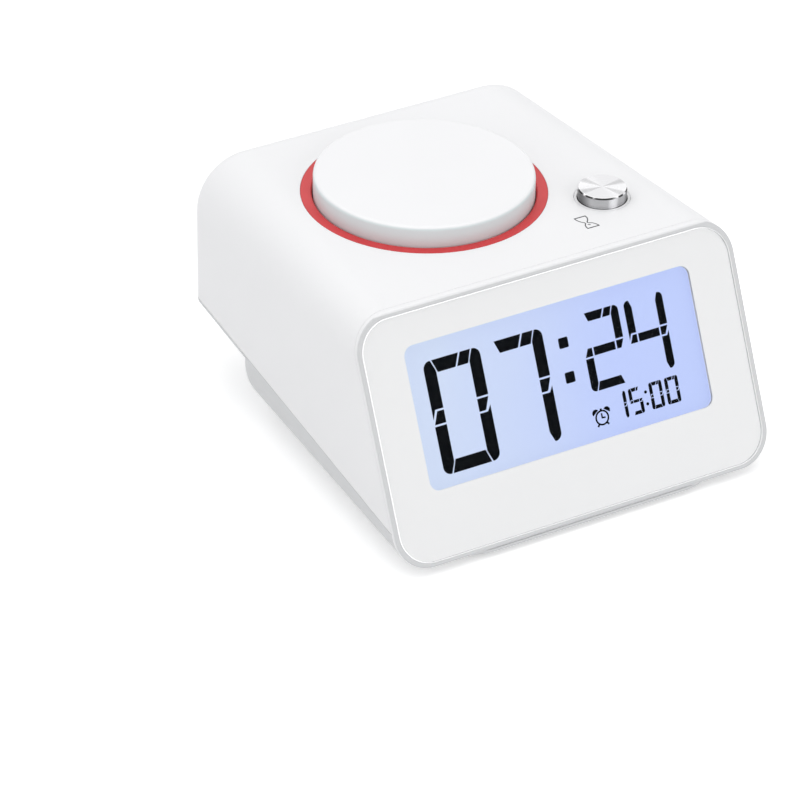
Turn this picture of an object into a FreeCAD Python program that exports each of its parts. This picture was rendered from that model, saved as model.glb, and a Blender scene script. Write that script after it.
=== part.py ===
import FreeCAD, Part
import math
import os
import re
import Sketcher

# Bedside alarm clock: a wedge-shaped housing with a leaning display, a turning and pressing
# knob in a light ring, and a metal nap button. Millimetres, X right, Y to the back, Z up.
# The origin is on the surface that the clock stands on, under the middle of the body.

doc = FreeCAD.newDocument("alarm_clock")
sheet = doc.addObject("Spreadsheet::Sheet", "sizes")
trial = doc.addObject("Spreadsheet::Sheet", "trial")

SIZES = {
    # Body form
    "body_width": 110.0,
    "body_depth": 118.0,
    "face_height": 65.3,
    "face_lean": 24.3,
    "side_taper": 4.5,
    "front_top_radius": 10.0,
    "rear_top_radius": 15.0,
    "front_low_radius": 9.5,
    "rear_low_radius": 15.5,
    "rear_edge_radius": 5.0,
    "face_edge_radius": 0.5,
    "rear_step_depth": 25.5,
    "step_radius": 8.0,
    "seam_front": 9.2,
    "seam_rear": 19.7,
    "shelf_rim": 0.9,
    # Walls, fits and cuts
    "wall": 2.2,
    "rear_wall": 3.0,
    "fit_gap": 0.1,
    "running_gap": 0.05,
    "seam_gap": 0.15,
    "tongue_thickness": 1.0,
    "tongue_height": 2.0,
    "shelf_thickness": 1.3,
    "overrun": 5.0,
    "cut_reach": 200.0,
    # Underside
    "foot_height": 1.2,
    "foot_radius": 4.5,
    "foot_sink": 0.5,
    "foot_front_side": 19.0,
    "foot_rear_side": 24.0,
    "foot_front_inset": 9.0,
    "foot_rear_inset": 6.0,
    "plinth_height": 0.8,
    "plinth_side_inset": 0.4,
    "plinth_front_inset": 0.2,
    "plinth_rear_gap": 0.5,
    "plinth_radius": 8.0,
    "plinth_front_radius": 16.0,
    # Bezel and lens
    "rim_depth": 1.2,
    "rim_width": 1.4,
    "bezel_depth": 7.0,
    "lens_flange": 0.7,
    "lens_thickness": 2.0,
    "lens_edge": 0.25,
    "window_side": 4.9,
    "window_top": 4.8,
    "window_bottom": 10.0,
    "window_radius": 5.0,
    # Display stack
    "view_side": 13.4,
    "view_bottom": 18.1,
    "view_radius": 2.6,
    "view_top": 10.1,
    "mask_thickness": 0.2,
    "stack_gap": 0.1,
    "lcd_side": 3.4,
    "lcd_end": 3.45,
    "lcd_thickness": 2.2,
    "backlight_side": 1.0,
    "backlight_end": 2.2,
    "backlight_thickness": 3.0,
    "holder_wall": 1.1,
    "holder_back": 1.0,
    "strip_side": 3.0,
    "strip_height": 1.5,
    "strip_inset": 0.3,
    "display_board_side": 5.0,
    "display_board_end": 2.0,
    "board_thickness": 1.6,
    "display_boss_radius": 2.2,
    "display_boss_side": 3.6,
    "display_boss_rise": 15.0,
    "small_screw_radius": 0.75,
    "small_screw_length": 6.0,
    "small_head_radius": 1.5,
    "small_head_height": 0.9,
    # Knob, well and light ring
    "knob_shift": -6.4,
    "knob_back_shift": 1.536,
    "knob_gap": 0.3,
    "knob_rise": 5.4,
    "knob_sink": 3.0,
    "knob_top_wall": 2.0,
    "knob_skirt_wall": 1.8,
    "knob_edge_radius": 1.0,
    "knob_travel": 0.8,
    "ring_inset": 10.65,
    "ring_width": 2.9,
    "ring_leg": 0.4,
    "ring_leg_depth": 1.5,
    "ring_bevel": 0.35,
    "led_board_thickness": 0.8,
    "led_count": 8,
    "led_length": 1.6,
    "led_width": 1.2,
    "led_height": 0.5,
    "well_depth": 9.0,
    "well_floor": 1.5,
    "well_wall": 1.7,
    "well_flange": 1.5,
    "well_step": 1.2,
    "hub_radius": 5.2,
    "hub_flange_gap": 5.5,
    "hub_flange_thickness": 1.2,
    # Encoder under the knob
    "encoder_side": 12.0,
    "encoder_height": 6.5,
    "shaft_radius": 3.0,
    "shaft_below": 2.5,
    "shaft_top_gap": 0.4,
    "bushing_radius": 3.5,
    "bushing_length": 5.0,
    "nut_flats": 10.0,
    "nut_height": 1.8,
    "plunger_length": 2.85,
    "bore_floor": 0.1,
    # Nap button
    "nap_side_inset": 23.45,
    "nap_setback": 22.2,
    "nap_radius": 6.35,
    "nap_rise": 3.1,
    "nap_sink": 1.8,
    "nap_wall": 0.7,
    "nap_edge_radius": 0.35,
    "nap_travel": 0.6,
    "collar_gap": 0.2,
    "collar_wall": 0.65,
    "collar_flange": 1.2,
    "collar_floor": 1.2,
    "stem_radius": 3.2,
    "stem_lip": 1.2,
    "stem_lip_height": 1.0,
    "stem_lip_gap": 0.3,
    "switch_side": 6.0,
    "switch_height": 3.5,
    "actuator_radius": 1.7,
    "actuator_rise": 1.5,
    "actuator_sink": 0.5,
    # Control board, hung from the well
    "control_left": 24.0,
    "control_side": 8.5,
    "control_front": 5.3,
    "control_rear": 24.0,
    "support_radius": 2.6,
    "support_circle": 20.0,
    "nap_support_side": 4.5,
    "nap_support_back": 11.1,
    "board_screw_radius": 1.0,
    "board_screw_length": 6.6,
    "board_head_radius": 1.9,
    "board_head_height": 1.3,
    # Main board
    "main_board_level": 28.0,
    "main_board_side": 5.0,
    "main_board_front": 45.0,
    "main_board_rear_gap": 1.2,
    "main_post_side": 4.0,
    "main_post_front": 50.0,
    "main_post_rear": 20.0,
    "main_post_radius": 2.8,
    # Case posts and screws
    "post_front_side": 18.5,
    "post_rear_side": 14.0,
    "post_front": 40.0,
    "post_rear": 13.0,
    "post_radius": 4.4,
    "boss_radius": 3.5,
    "split_level": 30.0,
    "seat_thickness": 4.0,
    "case_screw_radius": 1.5,
    "case_screw_length": 12.0,
    "case_head_radius": 2.8,
    "case_head_height": 1.8,
    "head_gap": 0.3,
    # Rear ports
    "panel_margin": 2.4,
    "panel_height": 13.4,
    "panel_radius": 2.5,
    "panel_sink": 0.5,
    "panel_drop": 1.0,
    "panel_lip": 1.5,
    "panel_lip_thickness": 1.0,
    "usb_width": 13.2,
    "usb_height": 5.7,
    "usb_length": 14.0,
    "usb_wall": 0.35,
    "usb_tongue_width": 11.1,
    "usb_tongue_height": 1.8,
    "usb_tongue_gap": 4.6,
    "usb_left_shift": -22.0,
    "usb_right_shift": -5.0,
    "dc_shift": 11.0,
    "dc_width": 9.0,
    "dc_height": 11.0,
    "dc_length": 10.0,
    "dc_axis_rise": 5.5,
    "dc_nose_radius": 4.2,
    "dc_bore_radius": 2.85,
    "dc_bore_depth": 9.5,
    "dc_pin_radius": 1.0,
    "dc_pin_gap": 1.0,
    "jack_shift": 22.5,
    "jack_width": 6.4,
    "jack_height": 5.6,
    "jack_length": 11.0,
    "jack_nose_radius": 2.7,
    "jack_bore_radius": 1.8,
    "jack_bore_depth": 12.0,
    # Parts on the boards
    "chip_side": 12.0,
    "chip_height": 1.6,
    "chip_shift": -12.0,
    "chip_place": 13.5,
    "capacitor_radius": 4.0,
    "capacitor_height": 10.0,
    "capacitor_shift": 19.0,
    "capacitor_pitch": 9.0,
    "capacitor_place": 14.0,
    "inductor_radius": 5.0,
    "inductor_height": 5.0,
    "inductor_shift": -26.0,
    "inductor_place": 13.0,
    "link_width": 15.0,
    "link_depth": 5.0,
    "link_shift": 0.0,
    "link_place": 24.0,
    "ribbon_width": 14.0,
    "ribbon_thickness": 0.4,
    "ribbon_bend": 12.0,
    "ribbon_reach": 13.0,
    "ribbon_corner": 33.0,
    "ribbon_rise": 1.0,
    "socket_width": 16.0,
    "socket_depth": 6.0,
    "socket_height": 2.0,
    # Speaker
    "speaker_shift": 16.2,
    "speaker_step_gap": 31.5,
    "speaker_radius": 18.0,
    "speaker_rim": 2.5,
    "speaker_rim_height": 1.2,
    "basket_radius": 10.5,
    "basket_height": 8.5,
    "basket_wall": 1.0,
    "magnet_radius": 9.5,
    "magnet_height": 5.0,
    "cone_wall": 0.5,
    "cone_dip": 4.4,
    "dust_cap_radius": 5.0,
    "speaker_fence": 1.4,
    "speaker_fence_height": 3.0,
    "sound_hole_radius": 1.2,
    "sound_inner_circle": 4.6,
    "sound_middle_circle": 8.6,
    "sound_outer_circle": 12.6,
    # Backup cell and its door
    "battery_side": 37.2,
    "battery_front": 37.0,
    "cell_radius": 10.0,
    "cell_height": 3.2,
    "door_radius": 12.4,
    "door_thickness": 1.2,
    "door_sink": 0.1,
    "door_neck_radius": 10.7,
    "door_gap": 0.1,
    "lug_reach": 1.5,
    "lug_width": 5.0,
    "lug_height": 1.1,
    "lug_gap": 0.2,
    "lug_turn": 60.0,
    "coin_slot_length": 13.0,
    "coin_slot_width": 1.8,
    "coin_slot_depth": 0.7,
    "cup_wall": 1.9,
    "cup_roof": 1.2,
    "cell_gap": 0.3,
    "contact_rise": 0.7,
    "contact_radius": 6.0,
    "contact_thickness": 0.3,
}

DERIVED = {
    "face_foot": "foot_height + plinth_height",
    "top_level": "face_foot + face_height * cos(face_lean)",
    "front_end": "-body_depth / 2",
    "rear_end": "body_depth / 2",
    "top_edge": "front_end + face_height * sin(face_lean)",
    "face_middle_y": "front_end + face_height / 2 * sin(face_lean)",
    "face_middle_z": "face_foot + face_height / 2 * cos(face_lean)",
    "seam_tilt": "atan((seam_rear - seam_front) / body_depth)",
    "seam_slope": "(seam_rear - seam_front) / body_depth",
    "step_end": "rear_end - rear_step_depth",
    "plinth_start": "front_end + plinth_front_inset",
    "plinth_end": "step_end - step_radius - plinth_rear_gap",
    "floor_narrowing": "(side_taper + rear_low_radius - front_low_radius) / body_depth",
    "base_wall": "wall + fit_gap + tongue_thickness",
    "floor_top": "face_foot + base_wall",
    "lens_width": "body_width - 2 * rim_width - 2 * fit_gap",
    "lens_height": "face_height - 2 * rim_width - 2 * fit_gap",
    "lens_radius": "front_top_radius - rim_width",
    "view_width": "body_width - 2 * view_side",
    "view_height": "face_height - view_top - view_bottom",
    "lcd_width": "view_width + 2 * lcd_side",
    "lcd_height": "view_height + 2 * lcd_end",
    "backlight_width": "lcd_width - 2 * backlight_side",
    "backlight_height": "lcd_height - 2 * backlight_end",
    "strip_width": "lcd_width - 2 * strip_side",
    "display_board_width": "lcd_width + 2 * display_board_side",
    "display_board_height": "lcd_height + 2 * display_board_end",
    "display_boss_spread": "lcd_width / 2 + display_boss_side",
    "window_width": "body_width - 2 * window_side",
    "window_height": "face_height - window_top - window_bottom",
    "window_lift": "(window_bottom - window_top) / 2",
    "view_lift": "face_height / 2 - view_top - view_height / 2",
    "lcd_front": "lens_thickness + mask_thickness + stack_gap",
    "lcd_back": "lcd_front + lcd_thickness",
    "light_front": "lcd_back + stack_gap",
    "light_back": "light_front + backlight_thickness",
    "holder_depth": "light_back + stack_gap + holder_back",
    "display_board_front": "holder_depth + stack_gap",
    "display_board_back": "display_board_front + board_thickness",
    "ring_radius": "body_width / 4 + body_depth / 8 - ring_inset",
    "knob_radius": "ring_radius - ring_width - knob_gap",
    "hub_flange_radius": "knob_radius - knob_skirt_wall - hub_flange_gap",
    "knob_y": "(top_edge + rear_end) / 2 + knob_back_shift",
    "well_inner": "ring_radius - ring_width - fit_gap",
    "groove_depth": "wall + ring_leg_depth",
    "well_bottom": "top_level - well_depth - well_floor",
    "control_top": "well_bottom - encoder_height",
    "control_low": "control_top - board_thickness",
    "nap_y": "top_edge + nap_setback",
    "nap_shift": "body_width / 2 - nap_side_inset",
    "nap_support_shift": "nap_shift + nap_support_side",
    "nap_support_y": "nap_y + nap_support_back",
    "control_start": "nap_y - control_front",
    "control_end": "knob_y + control_rear",
    "control_near": "knob_shift - control_left",
    "control_far": "nap_shift + control_side",
    "collar_inner": "nap_radius + collar_gap",
    "collar_outer": "collar_inner + collar_wall",
    "collar_edge": "collar_outer + collar_flange",
    "collar_bottom": "wall + 2 * collar_floor",
    "actuator_top": "control_top + switch_height + actuator_rise",
    "switch_bore_depth": "actuator_sink + nap_travel + bore_floor",
    "post_front_spread": "body_width / 2 - post_front_side",
    "post_rear_spread": "body_width / 2 - post_rear_side",
    "foot_front_spread": "body_width / 2 - foot_front_side",
    "foot_rear_spread": "body_width / 2 - foot_rear_side",
    "main_board_width": "2 * (post_rear_spread - main_board_side)",
    "main_post_spread": "main_board_width / 2 - main_post_side",
    "speaker_place": "step_end - speaker_step_gap",
    "battery_shift": "battery_side - body_width / 2",
    "battery_place": "front_end + battery_front",
    "main_board_top": "main_board_level + board_thickness",
    "main_front_end": "front_end + main_board_front",
    "main_rear_end": "rear_end - rear_wall - main_board_rear_gap",
    "port_face": "rear_end - panel_sink",
    "port_back": "rear_end - rear_wall - panel_lip_thickness",
    "panel_width": "usb_width - 2 * usb_left_shift + 2 * panel_margin",
    "panel_middle": "main_board_top + panel_height / 2 - panel_drop",
    "seat_level": "split_level - seat_thickness",
    "neck_top": "floor_top + lug_gap",
    "lug_top": "neck_top + lug_height",
}


def fill_sheet():
    """Writes the driving dimensions, then the formulas that follow from them."""
    row = 1
    for name, value in SIZES.items():
        sheet.set("A%d" % row, name)
        sheet.set("B%d" % row, str(value))
        sheet.setAlias("B%d" % row, name)
        row += 1
    for name, formula in DERIVED.items():
        sheet.set("A%d" % row, name)
        sheet.set("B%d" % row, "=" + formula)
        sheet.setAlias("B%d" % row, name)
        row += 1
    doc.recompute()


NAMES = set(SIZES) | set(DERIVED)
WORD = re.compile(r"[a-z][a-z0-9_]*")
parts = {}


def link(formula):
    """A formula on the sheet's names, as an object of the document writes it."""
    return WORD.sub(
        lambda word: "sizes." + word.group() if word.group() in NAMES else word.group(), formula,
    )


def number(formula):
    """What a formula on the sheet's names comes to."""
    trial.set("A1", "=" + link(formula))
    trial.recompute()
    value = trial.get("A1")
    return float(getattr(value, "Value", value))


def bind(item, **formulas):
    for prop, formula in formulas.items():
        item.setExpression(prop, link(formula))


def place(item, x="0", y="0", z="0", axis=(0, 0, 1), angle=None):
    """Ties an object's place, and its turn about one axis, to the sheet."""
    item.setExpression("Placement.Base.x", link(x))
    item.setExpression("Placement.Base.y", link(y))
    item.setExpression("Placement.Base.z", link(z))
    if angle is not None:
        item.Placement.Rotation = FreeCAD.Rotation(FreeCAD.Vector(*axis), number(angle))
        item.setExpression("Placement.Rotation.Angle", link(angle))
    return item


def on_face(item):
    """Puts a piece drawn in the face's own frame (X right, Y up the face, Z out of it) in place."""
    return place(item, "0", "face_middle_y", "face_middle_z", (1, 0, 0), "90 - face_lean")


def box(name, x, y, z, length, width, height):
    item = doc.addObject("Part::Box", name)
    bind(item, Length=length, Width=width, Height=height)
    return place(item, x, y, z)


def centred_box(name, x, y, z, length, width, height):
    return box(name, "%s - (%s) / 2" % (x, length), "%s - (%s) / 2" % (y, width), z, length, width, height)


def cylinder(name, x, y, z, radius, height):
    item = doc.addObject("Part::Cylinder", name)
    bind(item, Radius=radius, Height=height)
    return place(item, x, y, z)


def cylinder_back(name, x, y, z, radius, height):
    """A cylinder along Y, towards the back."""
    item = doc.addObject("Part::Cylinder", name)
    bind(item, Radius=radius, Height=height)
    return place(item, x, y, z, (1, 0, 0), "-90")


def slab(name, y, z, tilt, low, high):
    """A wide flat slab through the point y, z, tilted about X, from low to high across its own plane."""
    item = doc.addObject("Part::Box", name)
    bind(item, Length="cut_reach", Width="2 * cut_reach", Height="(%s) - (%s)" % (high, low))
    return place(
        item,
        "-cut_reach / 2",
        "%s - cut_reach * cos(%s) - (%s) * sin(%s)" % (y, tilt, low, tilt),
        "%s - cut_reach * sin(%s) + (%s) * cos(%s)" % (z, tilt, low, tilt),
        (1, 0, 0),
        tilt,
    )


def face_slab(name, near, far):
    """The space between two depths behind the front face."""
    return slab(name, "front_end", "face_foot", "90 - face_lean", "-(%s)" % far, "-(%s)" % near)


def seam_slab(name, low, high):
    """The space between two heights over the seam of the housing and the base."""
    return slab(name, "front_end", "face_foot + seam_front", "seam_tilt", low, high)


def seam_height(y):
    return "face_foot + seam_front + (%s - front_end) * seam_slope" % y


def fuse(name, *items):
    item = doc.addObject("Part::MultiFuse", name)
    item.Shapes = list(items)
    return item


def common(name, *items):
    item = doc.addObject("Part::MultiCommon", name)
    item.Shapes = list(items)
    return item


def cut(name, base, *tools):
    item = doc.addObject("Part::Cut", name)
    item.Base = base
    item.Tool = tools[0] if len(tools) == 1 else fuse(name + "_tools", *tools)
    return item


def group(name, *items):
    item = doc.addObject("Part::Compound", name)
    item.Links = list(items)
    return item


def keep(name, item):
    """Hands a finished sub-part on under its own name."""
    item.Label = name
    parts[name] = item
    return item


def origin_plane(body, role):
    return (next(plane for plane in body.Origin.OriginFeatures if plane.Role == role), [""])


def dimension(sketch, kind, ends, value, formula):
    index = sketch.addConstraint(Sketcher.Constraint(kind, *ends, value))
    sketch.setExpression("Constraints[%d]" % index, link(formula))


def section(body, name, half_width, half_height, low_radius, top_radius, y="0", z="0", tilt="0"):
    """A sketch of a rectangle with rounded corners, around the point y, z, turned up by tilt."""
    sketch = body.newObject("Sketcher::SketchObject", name)
    sketch.AttachmentSupport = origin_plane(body, "XY_Plane")
    sketch.MapMode = "FlatFace"
    turn = FreeCAD.Rotation(FreeCAD.Vector(1, 0, 0), number(tilt))
    sketch.AttachmentOffset = FreeCAD.Placement(FreeCAD.Vector(), turn)
    sketch.setExpression("AttachmentOffset.Base.y", link(y))
    sketch.setExpression("AttachmentOffset.Base.z", link(z))
    if tilt != "0":
        sketch.setExpression("AttachmentOffset.Rotation.Angle", link(tilt))
    wide, high = number(half_width), number(half_height)
    low, top = number(low_radius), number(top_radius)
    quarter = math.pi / 2

    def line(x0, y0, x1, y1):
        sketch.addGeometry(Part.LineSegment(FreeCAD.Vector(x0, y0, 0), FreeCAD.Vector(x1, y1, 0)))

    def arc(x, y, radius, start):
        circle = Part.Circle(FreeCAD.Vector(x, y, 0), FreeCAD.Vector(0, 0, 1), radius)
        sketch.addGeometry(Part.ArcOfCircle(circle, start, start + quarter))

    line(low - wide, -high, wide - low, -high)
    arc(wide - low, low - high, low, -quarter)
    line(wide, low - high, wide, high - top)
    arc(wide - top, high - top, top, 0)
    line(wide - top, high, top - wide, high)
    arc(top - wide, high - top, top, quarter)
    line(-wide, high - top, -wide, low - high)
    arc(low - wide, low - high, low, 2 * quarter)
    bottom, low_corner, right, top_corner, upper, other_top, left, other_low = range(8)
    for edge in range(8):
        sketch.addConstraint(Sketcher.Constraint("Tangent", edge, 2, (edge + 1) % 8, 1))
    for edge in (bottom, upper):
        sketch.addConstraint(Sketcher.Constraint("Horizontal", edge))
    for edge in (right, left):
        sketch.addConstraint(Sketcher.Constraint("Vertical", edge))
    sketch.addConstraint(Sketcher.Constraint("Equal", low_corner, other_low))
    sketch.addConstraint(Sketcher.Constraint("Equal", top_corner, other_top))
    dimension(sketch, "Radius", (low_corner,), low, low_radius)
    dimension(sketch, "Radius", (top_corner,), top, top_radius)
    dimension(sketch, "DistanceX", (-1, 1, right, 1), wide, half_width)
    dimension(sketch, "DistanceX", (left, 1, -1, 1), wide, half_width)
    dimension(sketch, "DistanceY", (bottom, 1, -1, 1), high, half_height)
    dimension(sketch, "DistanceY", (-1, 1, upper, 1), high, half_height)
    return sketch


def outline(body, name, role, corners):
    """A closed sketch of straight lines; each corner is a pair of formulas."""
    sketch = body.newObject("Sketcher::SketchObject", name)
    sketch.AttachmentSupport = origin_plane(body, role)
    sketch.MapMode = "FlatFace"
    points = [FreeCAD.Vector(number(across), number(up), 0) for across, up in corners]
    count = len(points)
    for index in range(count):
        sketch.addGeometry(Part.LineSegment(points[index], points[(index + 1) % count]))
    for index in range(count):
        sketch.addConstraint(Sketcher.Constraint("Coincident", index, 2, (index + 1) % count, 1))
    for index, (across, up) in enumerate(corners):
        if across == "0":
            sketch.addConstraint(Sketcher.Constraint("PointOnObject", index, 1, -2))
        else:
            dimension(sketch, "DistanceX", (-1, 1, index, 1), points[index].x, across)
        if up == "0":
            sketch.addConstraint(Sketcher.Constraint("PointOnObject", index, 1, -1))
        else:
            dimension(sketch, "DistanceY", (-1, 1, index, 1), points[index].y, up)
    return sketch


def turned(name, x, y, z, *corners):
    """A body turned about its own upright axis; corners are radius and height over z."""
    body = doc.addObject("PartDesign::Body", name)
    profile = outline(body, name + "_profile", "XZ_Plane", corners)
    spin = body.newObject("PartDesign::Revolution", name + "_turn")
    spin.Profile = profile
    spin.ReferenceAxis = (profile, ["V_Axis"])
    place(body, x, y, z)
    return body


def plate(name, width, height, radius, thickness, z="0", y="0"):
    """A flat plate with rounded corners, lying on the XY plane from z up."""
    body = doc.addObject("PartDesign::Body", name)
    half_width, half_height = "(%s) / 2" % width, "(%s) / 2" % height
    sketch = section(body, name + "_outline", half_width, half_height, radius, radius, y, z)
    pad = body.newObject("PartDesign::Pad", name + "_pad")
    pad.Profile = sketch
    bind(pad, Length=thickness)
    return body


def face_plate(name, width, height, radius, near, far, lift="0"):
    """A plate in the face's frame, between two depths behind the face."""
    return plate(name, width, height, radius, "(%s) - (%s)" % (far, near), "-(%s)" % far, lift)


def face_box(name, width, height, near, far, lift="0", shift="0"):
    return centred_box(name, shift, lift, "-(%s)" % far, width, height, "(%s) - (%s)" % (far, near))


def round_edges(body, name, radius, chosen):
    """Rounds the edges of the body's last feature that chosen picks."""
    doc.recompute()
    last = body.Tip
    names = ["Edge%d" % (index + 1) for index, edge in enumerate(last.Shape.Edges) if chosen(edge)]
    fillet = body.newObject("PartDesign::Fillet", name)
    fillet.Base = (last, names)
    bind(fillet, Radius=radius)
    doc.recompute()
    return fillet


def at_height(edge, level):
    bounds = edge.BoundBox
    return abs(bounds.ZMin - level) < 1e-4 and abs(bounds.ZMax - level) < 1e-4


def wedge(name, inset, rear_inset):
    """The body's outer form, or the same form drawn in by inset."""
    body = doc.addObject("PartDesign::Body", name)
    front = section(
        body,
        name + "_front",
        "body_width / 2 - (%s)" % inset,
        "face_height / 2 - (%s)" % inset,
        "front_low_radius - (%s)" % inset,
        "front_top_radius - (%s)" % inset,
        "face_middle_y",
        "face_middle_z",
        "90 - face_lean",
    )
    rear = section(
        body,
        name + "_rear",
        "body_width / 2 - side_taper - (%s)" % inset,
        "(top_level - face_foot) / 2 - (%s)" % inset,
        "rear_low_radius - (%s)" % inset,
        "rear_top_radius - (%s)" % inset,
        "rear_end - (%s)" % rear_inset,
        "(top_level + face_foot) / 2",
        "90",
    )
    loft = body.newObject("PartDesign::AdditiveLoft", name + "_loft")
    loft.Profile = front
    loft.Sections = [rear]
    loft.Ruled = True
    return body


def body_form():
    """The outer form: the wedge, the step under its back, and its rounded edges."""
    body = wedge("body_form", "0", "0")
    past = "rear_end + overrun"
    ceiling_front = seam_height("step_end") + " - shelf_rim"
    ceiling_rear = seam_height(past) + " - shelf_rim"
    corners = [("step_end", "0"), (past, "0"), (past, ceiling_rear), ("step_end", ceiling_front)]
    step = body.newObject("PartDesign::Pocket", "rear_step")
    step.Profile = outline(body, "rear_step_outline", "YZ_Plane", corners)
    step.Midplane = True
    bind(step, Length="cut_reach")
    rear, inner, ceiling = number("rear_end"), number("step_end"), number(ceiling_front)

    def on_rear(edge):
        return abs(edge.BoundBox.YMin - rear) < 1e-4 and abs(edge.BoundBox.YMax - rear) < 1e-4

    def on_step(edge):
        flat = abs(edge.BoundBox.YMin - inner) < 1e-4 and abs(edge.BoundBox.YMax - inner) < 1e-4
        return flat and edge.BoundBox.ZMin < ceiling - number("shelf_rim") / 2

    face_point = FreeCAD.Vector(0, number("front_end"), number("face_foot"))
    lean = math.radians(number("face_lean"))
    outward = FreeCAD.Vector(0, -math.cos(lean), math.sin(lean))

    def on_front(edge):
        return all(abs((vertex.Point - face_point).dot(outward)) < 1e-4 for vertex in edge.Vertexes)

    round_edges(body, "rear_edges", "rear_edge_radius", on_rear)
    round_edges(body, "step_edges", "step_radius", on_step)
    round_edges(body, "face_edges", "face_edge_radius", on_front)
    return body


def four_places(front_spread, front, rear_spread, rear):
    """Two places in front and two behind, each pair the same way out from the middle."""
    return (
        ("-" + front_spread, front), (front_spread, front), ("-" + rear_spread, rear),
        (rear_spread, rear),
    )


def case_posts(prefix, maker, radius):
    """One piece from maker at each of the four case screws."""
    places = four_places(
        "post_front_spread", "front_end + post_front", "post_rear_spread", "rear_end - post_rear",
    )
    return [maker("%s_%d" % (prefix, index), x, y, radius) for index, (x, y) in enumerate(places)]


def main_posts(prefix, maker):
    """One piece from maker at each of the four main board screws."""
    front, rear = "front_end + main_post_front", "rear_end - main_post_rear"
    places = four_places("main_post_spread", front, "main_post_spread", rear)
    return [maker("%s_%d" % (prefix, index), x, y) for index, (x, y) in enumerate(places)]


def foot_places():
    front, rear = "front_end + foot_front_inset", "step_end - step_radius - foot_rear_inset"
    return four_places("foot_front_spread", front, "foot_rear_spread", rear)


def control_places():
    """Centres of the three supports under the well."""
    places = []
    for index in range(3):
        angle = "(90 + %d * 120)" % index
        x = "knob_shift + support_circle * cos(%s)" % angle
        y = "knob_y + support_circle * sin(%s)" % angle
        places.append((x, y))
    return places


def make_housing(form, cavity, wall_middle):
    def boss(name, x, y, radius):
        tall = cylinder(name + "_rod", x, y, "split_level", radius, "top_level - split_level")
        room_low = "top_level - collar_bottom - collar_floor"
        room = cylinder(
            name + "_room", "nap_shift", "nap_y", room_low, "collar_edge + fit_gap",
            "3 * collar_floor",
        )
        return cut(name + "_trimmed", common(name, tall, wall_middle), room)

    def pilot(name, x, y, radius):
        return cylinder(
            name, x, y, "split_level - overrun", radius,
            "overrun + case_screw_length - seat_thickness",
        )

    shell = cut("housing_walls", form, cavity)
    upper = seam_slab("housing_room", "0", "cut_reach")
    behind = face_slab("housing_depth", "rim_depth + fit_gap", "cut_reach")
    trimmed = common("housing_trimmed", shell, upper, behind)
    bosses = case_posts("housing_boss", boss, "boss_radius")
    support_height = "top_level - wall / 2 - control_top"
    bosses.append(
        cylinder(
            "nap_support", "nap_support_shift", "nap_support_y", "control_top", "support_radius",
            support_height,
        ),
    )
    solid = fuse("housing_solid", trimmed, *bosses)
    holes = case_posts("housing_pilot", pilot, "case_screw_radius")
    pilot_height = "board_screw_length"
    holes.append(
        cylinder(
            "nap_pilot", "nap_support_shift", "nap_support_y", "control_low", "board_screw_radius",
            pilot_height,
        ),
    )
    reach = "wall + 2 * overrun"
    below = "top_level - wall - overrun"
    holes.append(cylinder("ring_hole", "knob_shift", "knob_y", below, "ring_radius + fit_gap", reach))
    holes.append(cylinder("nap_hole", "nap_shift", "nap_y", below, "collar_outer + fit_gap", reach))
    opening = plate("port_hole", "panel_width", "panel_height", "panel_radius", "rear_wall + overrun")
    place(opening, "0", "rear_end + overrun / 2", "panel_middle", (1, 0, 0), "90")
    holes.append(opening)
    keep("housing_shell", cut("housing_shell", solid, *holes))


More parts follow.
